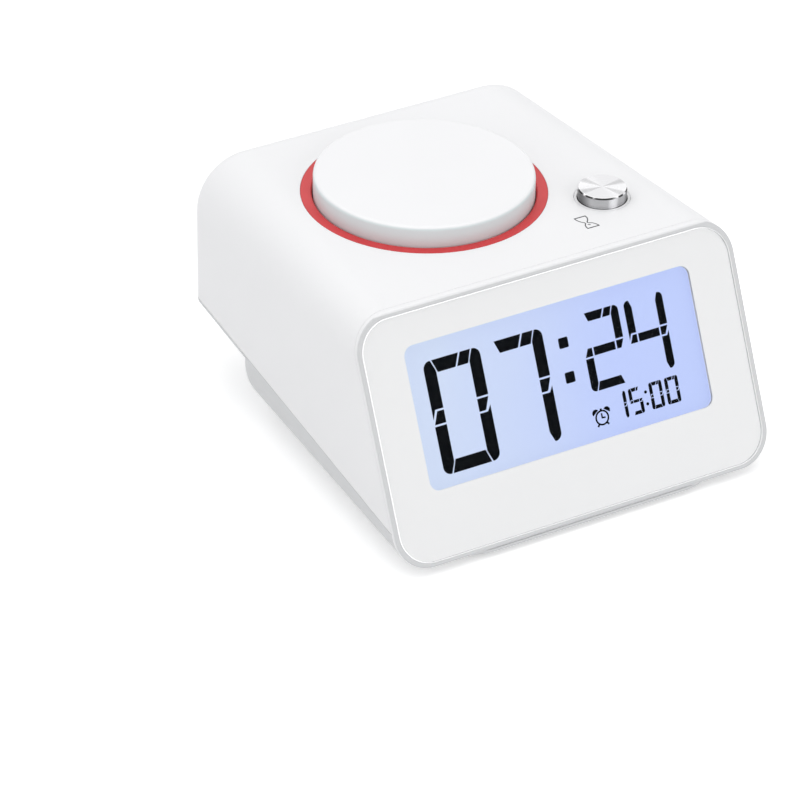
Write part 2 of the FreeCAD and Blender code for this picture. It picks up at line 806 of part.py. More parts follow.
def make_base(form, cavity, tongue_outer, tongue_inner):
    lower = seam_slab("base_room", "-cut_reach", "-seam_gap")
    behind = face_slab("base_depth", "rim_depth + fit_gap", "cut_reach")
    outer = common("base_outer", form, lower, behind)
    tub_room = box(
        "tub_room",
        "-cut_reach / 2",
        "step_end - base_wall - cut_reach",
        "0",
        "cut_reach",
        "cut_reach",
        "cut_reach",
    )
    hollow = common("tub_hollow", tongue_inner, tub_room)
    lip_room = seam_slab("lip_room", "-base_wall", "tongue_height")
    lip = common("base_lip", cut("lip_ring", tongue_outer, tongue_inner), lip_room, form)
    shelf_room = box(
        "shelf_room",
        "-cut_reach / 2",
        "step_end - base_wall",
        "0",
        "cut_reach",
        "cut_reach",
        "cut_reach",
    )
    shelf = common(
        "base_shelf", tongue_outer, seam_slab("shelf_slab", "-shelf_rim / 2", "shelf_thickness"),
        shelf_room,
    )
    lip_depth = face_slab("lip_depth", "bezel_depth + fit_gap", "cut_reach")
    lip_behind = common("base_lip_behind", lip, lip_depth)
    plinth = make_plinth()

    def post_foot(y):
        """Posts placed from the rear end stand on the shelf, and the others on the floor."""
        return seam_height("(%s)" % y) if "rear" in y else "face_foot + wall / 2"

    def column(name, x, y, radius):
        foot = post_foot(y)
        return cylinder(name, x, y, foot, radius, "split_level - (%s)" % foot)

    def board_post(name, x, y):
        foot = post_foot(y)
        return cylinder(name, x, y, foot, "main_post_radius", "main_board_level - (%s)" % foot)

    fence_z = "face_foot + wall / 2"
    fence_height = "base_wall - wall / 2 + speaker_fence_height"
    fence_wide = cylinder(
        "fence_wide", "speaker_shift", "speaker_place", fence_z, "speaker_radius + fit_gap + speaker_fence",
        fence_height,
    )
    fence_core = cylinder(
        "fence_core", "speaker_shift", "speaker_place", "floor_top", "speaker_radius + fit_gap",
        "speaker_fence_height + overrun",
    )
    solid = fuse("base_solid", cut("base_tub", outer, hollow), lip_behind, shelf, plinth, fence_wide,
                 *case_posts("base_post", column, "post_radius"), *main_posts("board_post", board_post))

    def shaft_hole(name, x, y, radius):
        return cylinder(name, x, y, "0", radius, "split_level + overrun")

    def head_hole(name, x, y, radius):
        return cylinder(name, x, y, "0", radius, "seat_level")

    def board_pilot(name, x, y):
        drilled = "board_screw_length - board_thickness"
        return cylinder(
            name, x, y, "main_board_level - (%s)" % drilled, "board_screw_radius",
            drilled + " + overrun",
        )

    holes = case_posts("base_shaft_hole", shaft_hole, "case_screw_radius + fit_gap")
    holes += case_posts("base_head_hole", head_hole, "case_head_radius + head_gap")
    holes += main_posts("board_pilot", board_pilot)
    holes.append(fence_core)
    holes.append(
        common("front_room", cavity, face_slab("front_depth", "-overrun", "bezel_depth + fit_gap")),
    )
    for index, (x, y) in enumerate(foot_places()):
        sink_z = "foot_height - overrun"
        holes.append(cylinder("foot_sink_%d" % index, x, y, sink_z, "foot_radius", "overrun + foot_sink"))
    for ring, (count, circle) in enumerate(((1, "0"), (6, "sound_inner_circle"), (10, "sound_middle_circle"),
                                            (14, "sound_outer_circle"))):
        for index in range(count):
            turn = "(360 * %d / %d)" % (index, count)
            x = "speaker_shift + %s * cos(%s)" % (circle, turn)
            y = "speaker_place + %s * sin(%s)" % (circle, turn)
            holes.append(
                cylinder(
                    "sound_%d_%d" % (ring, index), x, y, "0", "sound_hole_radius", "floor_top + overrun",
                ),
            )
    door_x, door_y = "battery_shift", "battery_place"
    holes.append(
        cylinder("neck_hole", door_x, door_y, "0", "door_neck_radius + door_gap", "floor_top + overrun"),
    )
    recess = "foot_height + door_sink + door_thickness + door_gap"
    holes.append(cylinder("door_recess", door_x, door_y, "0", "door_radius + door_gap", recess))
    slot_bar = box("lug_slot_bar", "-cut_reach / 2", "-(lug_width + 4 * door_gap) / 2", "0", "cut_reach",
                   "lug_width + 4 * door_gap", "floor_top + overrun")
    slot_round = cylinder(
        "lug_slot_round", "0", "0", "0", "door_neck_radius + lug_reach + door_gap",
        "floor_top + overrun",
    )
    slots = common("lug_slots", slot_bar, slot_round)
    holes.append(place(slots, door_x, door_y, "0", (0, 0, 1), "-lug_turn"))
    keep("base_tray", cut("base_tray", solid, *holes))


def make_plinth():
    """The flat plate under the base, as wide as the base's flat floor at both ends."""
    body = doc.addObject("PartDesign::Body", "base_plinth")

    def half_width(y):
        narrowing = "floor_narrowing * (%s - front_end)" % y
        return "body_width / 2 - front_low_radius - %s - plinth_side_inset" % narrowing

    front, rear = half_width("plinth_start"), half_width("plinth_end")
    corners = [
        ("-(%s)" % front, "plinth_start"), (front, "plinth_start"), (rear, "plinth_end"),
        ("-(%s)" % rear, "plinth_end"),
    ]
    pad = body.newObject("PartDesign::Pad", "plinth_pad")
    pad.Profile = outline(body, "plinth_outline", "XY_Plane", corners)
    bind(pad, Length="plinth_height")
    start, end = number("plinth_start"), number("plinth_end")
    round_edges(
        body, "plinth_corners", "plinth_radius",
        lambda edge: edge.BoundBox.YMin > end - 1e-4 and edge.BoundBox.XLength < 1e-4,
    )
    round_edges(
        body, "plinth_front_corners", "plinth_front_radius",
        lambda edge: edge.BoundBox.YMax < start + 1e-4 and edge.BoundBox.XLength < 1e-4,
    )
    return place(body, "0", "0", "foot_height")


def make_feet():
    feet = []
    for index, (x, y) in enumerate(foot_places()):
        feet.append(cylinder("foot_%d" % index, x, y, "0", "foot_radius", "foot_height + foot_sink"))
    keep("rubber_feet", group("rubber_feet", *feet))


def make_bezel(form, tongue_outer):
    rim = common("bezel_rim", form, face_slab("rim_slab", "-overrun", "rim_depth"))
    plug = common(
        "bezel_plug", tongue_outer,
        face_slab("plug_slab", "rim_depth - lens_flange / 2", "bezel_depth"),
    )
    bosses, pilots = [], []
    for index, (x, y) in enumerate(display_places()):
        length = "display_board_front - lcd_front"
        bosses.append(
            cylinder("display_boss_%d" % index, x, y, "-display_board_front", "display_boss_radius", length),
        )
        depth = "small_screw_length - board_thickness + fit_gap"
        pilot_z = "-display_board_front - overrun"
        pilots.append(
            cylinder("display_pilot_%d" % index, x, y, pilot_z, "small_screw_radius", depth + " + overrun"),
        )
    boss_set = on_face(group("display_bosses", *bosses))
    pilot_set = on_face(group("display_pilots", *pilots))
    recess = on_face(face_plate("lens_recess", "body_width - 2 * rim_width", "face_height - 2 * rim_width",
                                "lens_radius", "-overrun", "lens_flange"))
    window = on_face(face_plate("lens_window", "window_width", "window_height", "window_radius",
                                "-overrun", "bezel_depth + overrun", "window_lift"))
    frame = cut("bezel_frame", fuse("bezel_solid", rim, plug), recess, window)
    keep("front_bezel", cut("front_bezel", fuse("bezel_with_bosses", frame, boss_set), pilot_set))


def display_places():
    places = []
    for side in ("-", ""):
        for sign in ("-", "+"):
            places.append((side + "display_boss_spread", "view_lift %s display_boss_rise" % sign))
    return places


def make_lens():
    flange = plate(
        "lens_flange_plate", "lens_width", "lens_height", "lens_radius - fit_gap", "lens_flange",
        "-lens_flange",
    )
    round_edges(flange, "lens_edges", "lens_edge", lambda edge: at_height(edge, 0))
    step = face_plate("lens_step", "window_width - 2 * fit_gap", "window_height - 2 * fit_gap",
                      "window_radius - fit_gap", "lens_flange / 2", "lens_thickness", "window_lift")
    keep("display_lens", on_face(fuse("display_lens", flange, step)))


def make_mask():
    sheet_plate = face_plate(
        "mask_sheet", "window_width - 4 * fit_gap", "window_height - 4 * fit_gap",
        "window_radius - fit_gap", "lens_thickness", "lens_thickness + mask_thickness", "window_lift",
    )
    opening = face_plate(
        "mask_opening", "view_width", "view_height", "view_radius", "0", "bezel_depth", "view_lift",
    )
    keep("lens_mask", on_face(cut("lens_mask", sheet_plate, opening)))


def make_display():
    glass = face_box("lcd_glass", "lcd_width", "lcd_height", "lcd_front", "lcd_back", "view_lift")
    keep("lcd_glass", on_face_parts("lcd_glass", glass))
    light = face_box(
        "backlight", "backlight_width", "backlight_height", "light_front", "light_back", "view_lift",
    )
    keep("backlight_panel", on_face_parts("backlight_panel", light))
    wide = "lcd_width + 2 * holder_wall"
    high = "lcd_height + 2 * holder_wall"
    front = "lens_thickness + mask_thickness + stack_gap / 2"
    block = face_box("holder_block", wide, high, front, "holder_depth", "view_lift")
    pocket = face_box("holder_pocket", "lcd_width + 2 * fit_gap", "lcd_height + 2 * fit_gap", "0",
                      "light_back + stack_gap", "view_lift")
    strip_lift = "view_lift - lcd_height / 2 + strip_inset + strip_height / 2"
    slot = face_box("holder_slot", "strip_width + 4 * fit_gap", "strip_height + 2 * fit_gap", "0",
                    "holder_depth + overrun", strip_lift)
    keep("display_holder", on_face(cut("display_holder", block, pocket, slot)))
    strip = face_box("strip", "strip_width", "strip_height", "lcd_back", "display_board_front", strip_lift)
    keep("lcd_connector", on_face_parts("lcd_connector", strip))
    board = face_box("display_sheet", "display_board_width", "display_board_height", "display_board_front",
                     "display_board_back", "view_lift")
    holes = [
        cylinder(
            "display_hole_%d" % index, x, y, "-display_board_back - overrun",
            "small_screw_radius + fit_gap", "board_thickness + 2 * overrun",
        )
        for index, (x, y) in enumerate(display_places())
    ]
    keep("display_board", on_face(cut("display_board", board, *holes)))
    screws = []
    for index, (x, y) in enumerate(display_places()):
        shaft = cylinder(
            "display_shaft_%d" % index, x, y, "-display_board_back", "small_screw_radius",
            "small_screw_length",
        )
        head = cylinder("display_head_%d" % index, x, y, "-display_board_back - small_head_height",
                        "small_head_radius", "small_head_height")
        screws.append(fuse("display_screw_%d" % index, shaft, head))
    keep("display_screws", on_face(group("display_screws", *screws)))


def on_face_parts(name, item):
    """A single primitive, drawn in the face's frame and moved there as one piece."""
    return on_face(group(name, item))


def make_well():
    groove = "well_depth + well_floor - groove_depth"
    top = "well_depth + well_floor - wall"
    outer = "well_inner + well_wall"
    flange = "ring_radius + well_flange"
    hole = "bushing_radius + fit_gap"
    body = turned(
        "knob_well_body", "knob_shift", "knob_y", "well_bottom",
        (hole, "0"), (outer, "0"), (outer, groove + " - well_step"), (flange, groove + " - well_step"),
        (flange, top), ("ring_radius + fit_gap", top), ("ring_radius + fit_gap", groove),
        ("well_inner", groove), ("well_inner", "well_floor"), (hole, "well_floor"),
    )
    posts, pilots = [], []
    for index, (x, y) in enumerate(control_places()):
        posts.append(cylinder("well_post_%d" % index, x, y, "control_top", "support_radius",
                              "encoder_height + well_floor / 2"))
        pilots.append(
            cylinder(
                "well_pilot_%d" % index, x, y, "control_low", "board_screw_radius", "board_screw_length",
            ),
        )
    keep("knob_well", cut("knob_well", fuse("well_with_posts", body, *posts), *pilots))


def make_ring():
    inner = "ring_radius - ring_width"
    high = "wall + ring_leg_depth"
    body = turned(
        "light_ring_body", "knob_shift", "knob_y", "top_level - groove_depth",
        (inner, "0"), (inner + " + ring_leg", "0"), (inner + " + ring_leg", "ring_leg_depth"),
        ("ring_radius", "ring_leg_depth"), ("ring_radius", high), (inner + " + ring_bevel", high),
        (inner, high + " - ring_bevel"),
    )
    keep("light_ring", body)
    board = turned(
        "ring_board_body", "knob_shift", "knob_y", "top_level - groove_depth",
        (inner + " + ring_leg + fit_gap", "0"), ("ring_radius", "0"), (
            "ring_radius", "led_board_thickness",
        ),
        (inner + " + ring_leg + fit_gap", "led_board_thickness"),
    )
    keep("ring_led_board", board)
    circle = "(ring_radius - (ring_width - ring_leg - fit_gap) / 2)"
    leds = []
    count = int(number("led_count"))
    for index in range(count):
        led = centred_box("led_body_%d" % index, "0", circle, "0", "led_length", "led_width", "led_height")
        turned_led = group("led_%d" % index, led)
        place(turned_led, "knob_shift", "knob_y", "top_level - groove_depth + led_board_thickness",
              (0, 0, 1), "360 * %d / led_count + 10" % index)
        leds.append(turned_led)
    keep("ring_leds", group("ring_leds", *leds))


def make_knob():
    inner = "knob_radius - knob_skirt_wall"
    total = "knob_sink + knob_rise"
    cap = turned(
        "knob_cap", "knob_shift", "knob_y", "top_level - knob_sink",
        (inner, "0"), ("knob_radius", "0"), ("knob_radius", total), ("0", total),
        ("0", total + " - knob_top_wall"), (inner, total + " - knob_top_wall"),
    )
    top = number(total)
    round_edges(cap, "knob_edge", "knob_edge_radius", lambda edge: at_height(edge, top))
    keep("knob_cap", cap)
    bottom = "bushing_length + knob_travel + running_gap * 4 - well_depth - well_floor"
    height = "knob_rise - knob_top_wall - (%s)" % bottom
    bore_top = "(%s) - shaft_top_gap + fit_gap" % height
    hub = turned(
        "knob_hub", "knob_shift", "knob_y", "top_level + " + bottom,
        ("shaft_radius", "0"), ("hub_radius", "0"), ("hub_radius", height + " - hub_flange_thickness"),
        ("hub_flange_radius", height + " - hub_flange_thickness"), ("hub_flange_radius", height),
        ("0", height), ("0", bore_top), ("shaft_radius", bore_top),
    )
    keep("knob_hub", hub)
    shaft_z = "well_bottom - shaft_below"
    shaft_top = "top_level + knob_rise - knob_top_wall - shaft_top_gap"
    shaft = cylinder(
        "encoder_shaft", "knob_shift", "knob_y", shaft_z, "shaft_radius",
        "%s - (%s)" % (shaft_top, shaft_z),
    )
    keep("encoder_shaft", shaft)


def make_encoder():
    case = centred_box(
        "encoder_case", "knob_shift", "knob_y", "control_top", "encoder_side", "encoder_side",
        "encoder_height",
    )
    bore = cylinder(
        "encoder_bore", "knob_shift", "knob_y", "control_top + bore_floor", "shaft_radius + running_gap",
        "encoder_height + overrun",
    )
    keep("encoder_body", cut("encoder_body", case, bore))
    tube = turned(
        "encoder_bushing", "knob_shift", "knob_y", "well_bottom",
        ("shaft_radius + running_gap", "0"), ("bushing_radius", "0"), ("bushing_radius", "bushing_length"),
        ("shaft_radius + running_gap", "bushing_length"),
    )
    keep("encoder_bushing", tube)
    hexagon = doc.addObject("Part::Prism", "nut_hexagon")
    hexagon.Polygon = 6
    bind(hexagon, Circumradius="nut_flats / sqrt(3)", Height="nut_height")
    place(hexagon, "knob_shift", "knob_y", "well_bottom + well_floor")
    nut_bore = cylinder("nut_bore", "knob_shift", "knob_y", "well_bottom", "bushing_radius", "well_depth")
    keep("encoder_nut", cut("encoder_nut", hexagon, nut_bore))
    plunger_z = "well_bottom - shaft_below - plunger_length"
    keep(
        "encoder_plunger",
        cylinder("encoder_plunger", "knob_shift", "knob_y", plunger_z, "shaft_radius", "plunger_length"),
    )


def make_nap_button():
    bottom = "top_level - collar_bottom"
    collar = turned(
        "nap_collar", "nap_shift", "nap_y", bottom,
        ("stem_radius + fit_gap", "0"), ("collar_outer", "0"), ("collar_outer", "collar_floor"),
        ("collar_edge", "collar_floor"), ("collar_edge", "2 * collar_floor"), (
            "collar_outer", "2 * collar_floor",
        ),
        ("collar_outer", "collar_bottom"), ("collar_inner", "collar_bottom"), (
            "collar_inner", "collar_floor",
        ),
        ("stem_radius + fit_gap", "collar_floor"),
    )
    keep("nap_collar", collar)
    total = "nap_sink + nap_rise"
    cap = turned(
        "nap_button", "nap_shift", "nap_y", "top_level - nap_sink",
        ("nap_radius - nap_wall", "0"), ("nap_radius", "0"), ("nap_radius", total), ("0", total),
        ("0", total + " - nap_wall"), ("nap_radius - nap_wall", total + " - nap_wall"),
    )
    top = number(total)
    round_edges(cap, "nap_edge", "nap_edge_radius", lambda edge: at_height(edge, top))
    keep("nap_button", cap)
    length = "top_level + nap_rise - nap_wall - actuator_top"
    head = "top_level - nap_sink - actuator_top"
    lip = "top_level - collar_bottom - stem_lip_gap - actuator_top"
    stem = turned(
        "nap_plunger", "nap_shift", "nap_y", "actuator_top",
        ("0", "0"), ("stem_radius", "0"), ("stem_radius", lip + " - stem_lip_height"),
        ("stem_radius + stem_lip", lip + " - stem_lip_height"), ("stem_radius + stem_lip", lip), (
            "stem_radius", lip,
        ),
        ("stem_radius", head), ("nap_radius - nap_wall", head), ("nap_radius - nap_wall", length), (
            "0", length,
        ),
    )
    keep("nap_plunger", stem)
    case = centred_box(
        "switch_case", "nap_shift", "nap_y", "control_top", "switch_side", "switch_side",
        "switch_height",
    )
    bore = cylinder("switch_bore", "nap_shift", "nap_y", "control_top + switch_height - switch_bore_depth",
                    "actuator_radius + running_gap", "switch_height + overrun")
    keep("nap_switch", cut("nap_switch", case, bore))
    low = "control_top + switch_height - actuator_sink"
    keep(
        "switch_actuator",
        cylinder(
            "switch_actuator", "nap_shift", "nap_y", low, "actuator_radius", "actuator_top - (%s)" % low,
        ),
    )


def make_control_board():
    board = box("control_sheet", "control_near", "control_start", "control_low",
                "control_far - control_near", "control_end - control_start", "board_thickness")
    spots = control_places() + [("nap_support_shift", "nap_support_y")]
    holes = [
        cylinder(
            "control_hole_%d" % index, x, y, "control_low - overrun", "board_screw_radius + fit_gap",
            "board_thickness + 2 * overrun",
        )
        for index, (x, y) in enumerate(spots)
    ]
    keep("control_board", cut("control_board", board, *holes))
    screws = []
    for index, (x, y) in enumerate(spots):
        shaft = cylinder(
            "control_shaft_%d" % index, x, y, "control_low", "board_screw_radius",
            "board_screw_length",
        )
        head = cylinder(
            "control_head_%d" % index, x, y, "control_low - board_head_height", "board_head_radius",
            "board_head_height",
        )
        screws.append(fuse("control_screw_%d" % index, shaft, head))
    keep("control_board_screws", group("control_board_screws", *screws))


def make_main_board():
    board = box(
        "main_sheet", "-main_board_width / 2", "main_front_end", "main_board_level", "main_board_width",
        "main_rear_end - main_front_end", "board_thickness",
    )

    def hole(name, x, y):
        return cylinder(name, x, y, "main_board_level - overrun", "board_screw_radius + fit_gap",
                        "board_thickness + 2 * overrun")

    def screw(name, x, y):
        shaft = cylinder(name + "_shaft", x, y, "main_board_top - board_screw_length", "board_screw_radius",
                         "board_screw_length")
        head = cylinder(name + "_head", x, y, "main_board_top", "board_head_radius", "board_head_height")
        return fuse(name, shaft, head)

    keep("main_board", cut("main_board", board, *main_posts("main_hole", hole)))
    keep("main_board_screws", group("main_board_screws", *main_posts("main_screw", screw)))
    keep(
        "main_chip",
        centred_box(
            "main_chip", "chip_shift", "main_front_end + chip_place", "main_board_top", "chip_side",
            "chip_side", "chip_height",
        ),
    )
    cans = [
        cylinder(
            "capacitor_%d" % index, "capacitor_shift + %d * capacitor_pitch" % index,
            "main_front_end + capacitor_place", "main_board_top", "capacitor_radius", "capacitor_height",
        )
        for index in range(2)
    ]
    keep("power_capacitors", group("power_capacitors", *cans))
    keep(
        "power_inductor",
        cylinder(
            "power_inductor", "inductor_shift", "main_front_end + inductor_place", "main_board_top",
            "inductor_radius", "inductor_height",
        ),
    )
    keep(
        "board_link",
        centred_box(
            "board_link", "link_shift", "main_front_end + link_place", "main_board_top", "link_width",
            "link_depth", "control_low - main_board_top",
        ),
    )
    keep(
        "ribbon_socket",
        box(
            "ribbon_socket", "-socket_width / 2", "front_end + ribbon_corner + ribbon_reach",
            "main_board_top", "socket_width", "socket_depth", "socket_height",
        ),
    )


def make_ribbon():
    """A flat cable: square out of the display board, one bend, then level into the socket."""
    lean = math.radians(number("face_lean"))
    inward = FreeCAD.Vector(0, math.cos(lean), -math.sin(lean))
    corner = FreeCAD.Vector(0, number("front_end + ribbon_corner"), number("main_board_top + ribbon_rise"))
    foot = FreeCAD.Vector(0, number("front_end"), number("face_foot"))
    run = (corner - foot).dot(inward) - number("display_board_back")
    start = corner - inward * run
    end = corner + FreeCAD.Vector(0, number("ribbon_reach"), 0)
    bend = number("ribbon_bend")
    tangent = bend * math.tan(lean / 2)
    into = corner - inward * tangent
    out = corner + FreeCAD.Vector(0, tangent, 0)
    centre = out + FreeCAD.Vector(0, 0, bend)
    middle = centre + FreeCAD.Vector(0, -math.sin(lean / 2), -math.cos(lean / 2)) * bend
    path = Part.Wire([
        Part.LineSegment(start, into).toShape(),
        Part.Arc(into, middle, out).toShape(),
        Part.LineSegment(out, end).toShape(),
    ])
    half_width = number("ribbon_width / 2")
    half_thick = number("ribbon_thickness / 2")
    across = FreeCAD.Vector(half_width, 0, 0)
    upward = FreeCAD.Vector(0, math.sin(lean), math.cos(lean)) * half_thick
    corners = [
        start - across - upward, start + across - upward, start + across + upward,
        start - across + upward,
    ]
    profile = Part.makePolygon(corners + corners[:1])
    ribbon = doc.addObject("Part::Feature", "display_ribbon")
    ribbon.Shape = path.makePipeShell([profile], True, True)
    keep("display_ribbon", ribbon)


def make_case_screws():
    def screw(name, x, y, radius):
        shaft = cylinder(name + "_shaft", x, y, "seat_level", radius, "case_screw_length")
        head = cylinder(
            name + "_head", x, y, "seat_level - case_head_height", "case_head_radius",
            "case_head_height",
        )
        return fuse(name, shaft, head)

    keep("case_screws", group("case_screws", *case_posts("case_screw", screw, "case_screw_radius")))


def make_ports():
    lip = "2 * panel_lip"
    block = plate(
        "panel_plate", "panel_width - 2 * fit_gap", "panel_height - 2 * fit_gap", "panel_radius - fit_gap",
        "rear_wall - panel_sink",
    )
    place(block, "0", "port_face", "panel_middle", (1, 0, 0), "90")
    flange = plate(
        "panel_flange", "panel_width + " + lip, "panel_height + " + lip, "panel_radius + panel_lip",
        "panel_lip_thickness",
    )
    place(flange, "0", "rear_end - rear_wall", "panel_middle", (1, 0, 0), "90")
    reach = "rear_wall + 2 * overrun"
    usb_z = "main_board_top"
    openings = []
    shells, tongues = [], []
    for side, shift in (("left", "usb_left_shift"), ("right", "usb_right_shift")):
        openings.append(
            centred_box(
                "usb_opening_" + side, shift, "rear_end", usb_z + " - fit_gap", "usb_width + 2 * fit_gap",
                "2 * (%s)" % reach, "usb_height + 2 * fit_gap",
            ),
        )
        start = "port_face - usb_length"
        case = box(
            "usb_case_" + side, shift + " - usb_width / 2", start, usb_z, "usb_width", "usb_length",
            "usb_height",
        )
        room = box(
            "usb_room_" + side, shift + " - usb_width / 2 + usb_wall", start + " + usb_wall",
            usb_z + " + usb_wall", "usb_width - 2 * usb_wall", "usb_length + overrun",
            "usb_height - 2 * usb_wall",
        )
        shells.append(cut("usb_shell_" + side, case, room))
        tongue_z = usb_z + " + (usb_height - usb_tongue_height) / 2"
        tongues.append(
            box(
                "usb_tongue_" + side, shift + " - usb_tongue_width / 2", start + " + usb_wall", tongue_z,
                "usb_tongue_width", "usb_length - usb_wall - usb_tongue_gap", "usb_tongue_height",
            ),
        )
    keep("usb_sockets", group("usb_sockets", *shells))
    keep("usb_tongues", group("usb_tongues", *tongues))
    dc_z = "main_board_top + dc_axis_rise"
    jack_z = "main_board_top + jack_height / 2"
    openings.append(
        cylinder_back(
            "dc_opening", "dc_shift", "rear_end - (%s)" % reach, dc_z, "dc_nose_radius + fit_gap",
            "2 * (%s)" % reach,
        ),
    )
    openings.append(cylinder_back("jack_opening", "jack_shift", "rear_end - (%s)" % reach, jack_z,
                                  "jack_nose_radius + fit_gap", "2 * (%s)" % reach))
    keep("port_panel", cut("port_panel", fuse("panel_solid", block, flange), *openings))

    dc_case = box(
        "dc_case", "dc_shift - dc_width / 2", "port_back - fit_gap - dc_length", "main_board_top",
        "dc_width", "dc_length", "dc_height",
    )
    dc_nose = cylinder_back(
        "dc_nose", "dc_shift", "port_back - fit_gap - dc_length / 2", dc_z, "dc_nose_radius",
        "port_face - (port_back - fit_gap - dc_length / 2)",
    )
    dc_bore = cylinder_back("dc_bore", "dc_shift", "port_face - dc_bore_depth", dc_z, "dc_bore_radius",
                            "dc_bore_depth + overrun")
    keep("dc_inlet", cut("dc_inlet", fuse("dc_solid", dc_case, dc_nose), dc_bore))
    keep(
        "dc_inlet_pin",
        cylinder_back(
            "dc_inlet_pin", "dc_shift", "port_face - dc_bore_depth", dc_z, "dc_pin_radius",
            "dc_bore_depth - dc_pin_gap",
        ),
    )
    jack_case = box(
        "jack_case", "jack_shift - jack_width / 2", "port_back - fit_gap - jack_length", "main_board_top",
        "jack_width", "jack_length", "jack_height",
    )
    jack_nose = cylinder_back("jack_nose", "jack_shift", "port_back - fit_gap - jack_length / 2", jack_z,
                              "jack_nose_radius", "port_face - (port_back - fit_gap - jack_length / 2)")
    jack_bore = cylinder_back(
        "jack_bore", "jack_shift", "port_face - jack_bore_depth", jack_z, "jack_bore_radius",
        "jack_bore_depth + overrun",
    )
    keep("shaker_jack", cut("shaker_jack", fuse("jack_solid", jack_case, jack_nose), jack_bore))


def make_speaker():
    x, y, z = "speaker_shift", "speaker_place", "floor_top"
    inner = "speaker_radius - speaker_rim"
    frame = turned(
        "speaker_frame", x, y, z,
        (inner, "0"), ("speaker_radius", "0"), ("speaker_radius", "speaker_rim_height"),
        ("basket_radius", "basket_height"), ("basket_radius", "basket_height + basket_wall"),
        ("dust_cap_radius", "basket_height + basket_wall"), ("dust_cap_radius", "basket_height"),
        ("basket_radius - basket_wall", "basket_height"), (inner, "speaker_rim_height"),
    )
    keep("speaker_frame", frame)
    cone = turned(
        "speaker_cone", x, y, z,
        (inner + " - fit_gap", "fit_gap"), (inner + " - fit_gap", "fit_gap + cone_wall"),
        ("dust_cap_radius", "cone_dip + cone_wall"), ("0", "cone_dip + cone_wall"), ("0", "cone_dip"),
        ("dust_cap_radius - cone_wall", "cone_dip"),
    )
    keep("speaker_cone", cone)
    keep(
        "speaker_magnet",
        cylinder(
            "speaker_magnet", x, y, "floor_top + basket_height + basket_wall", "magnet_radius",
            "magnet_height",
        ),
    )


def make_battery():
    x, y = "battery_shift", "battery_place"
    door_z = "foot_height + door_sink"
    disc = cylinder("door_disc", "0", "0", "0", "door_radius", "door_thickness")
    neck = cylinder("door_neck", "0", "0", "0", "door_neck_radius", "neck_top - (%s)" % door_z)
    bar = centred_box(
        "lug_bar", "0", "0", "neck_top - (%s)" % door_z, "cut_reach", "lug_width", "lug_height",
    )
    limit = cylinder("lug_round", "0", "0", "0", "door_neck_radius + lug_reach", "lug_top - (%s)" % door_z)
    body = cylinder("lug_disc", "0", "0", "neck_top - (%s)" % door_z, "door_neck_radius", "lug_height")
    slot = centred_box(
        "coin_slot", "0", "0", "-overrun", "coin_slot_length", "coin_slot_width",
        "overrun + coin_slot_depth",
    )
    door = cut("battery_door", fuse("door_solid", disc, neck, common("door_lugs", bar, limit), body), slot)
    keep("battery_door", place(door, x, y, door_z))
    cell_z = "lug_top + fit_gap"
    keep("coin_cell", cylinder("coin_cell", x, y, cell_z, "cell_radius", "cell_height"))
    contact_z = cell_z + " + cell_height"
    contact = turned(
        "battery_contact", x, y, contact_z,
        ("0", "0"), ("contact_radius / 2", "0"), ("contact_radius", "contact_rise - contact_thickness"),
        ("contact_radius", "contact_rise"), ("contact_radius / 2", "contact_thickness"), (
            "0", "contact_thickness",
        ),
    )
    keep("battery_contact", contact)
    lug_room = "lug_top + fit_gap - floor_top"
    roof = lug_room + " + cell_height + contact_rise"
    wide = "door_neck_radius + lug_reach + cell_gap"
    cup = turned(
        "battery_cup", x, y, "floor_top",
        (wide, "0"), (wide + " + cup_wall", "0"), (wide + " + cup_wall", roof + " + cup_roof"),
        ("0", roof + " + cup_roof"), ("0", roof), ("cell_radius + cell_gap", roof),
        ("cell_radius + cell_gap", lug_room), (wide, lug_room),
    )
    keep("battery_cup", cup)


def check_objects():
    """Stops if a feature failed, or a sub-part has no valid shape."""
    doc.recompute()
    for item in doc.Objects:
        for state in ("Invalid", "Error"):
            if state in item.State:
                raise SystemExit("%s is in state %s" % (item.Label, item.State))
    for name, item in parts.items():
        shape = item.Shape
        if shape.isNull() or not shape.isValid() or not shape.Solids:
            raise SystemExit("%s has no valid solid" % name)
        loose = "" if len(shape.Solids) == 1 else ", %d solids" % len(shape.Solids)
        print("%-22s %10.1f mm3%s" % (name, shape.Volume, loose))


def export():
    os.makedirs("parts", exist_ok=True)
    for name, item in parts.items():
        item.Shape.exportStep("parts/%s.step" % name)
    print("%d sub-parts written" % len(parts))


fill_sheet()
form = body_form()
cavity = wedge("cavity", "wall", "rear_wall")
tongue_outer = wedge("tongue_outer", "wall + fit_gap", "rear_wall + fit_gap")
tongue_inner = wedge("tongue_inner", "base_wall", "rear_wall + fit_gap + tongue_thickness")
make_housing(form, cavity, wedge("wall_middle", "wall / 2", "rear_wall / 2"))
make_base(form, cavity, tongue_outer, tongue_inner)
make_feet()
make_bezel(form, tongue_outer)
make_lens()
make_mask()
make_display()
make_well()
make_ring()
make_knob()
make_encoder()
make_nap_button()
make_control_board()
make_main_board()
make_ribbon()
make_case_screws()
make_ports()
make_speaker()
make_battery()
check_objects()
export()
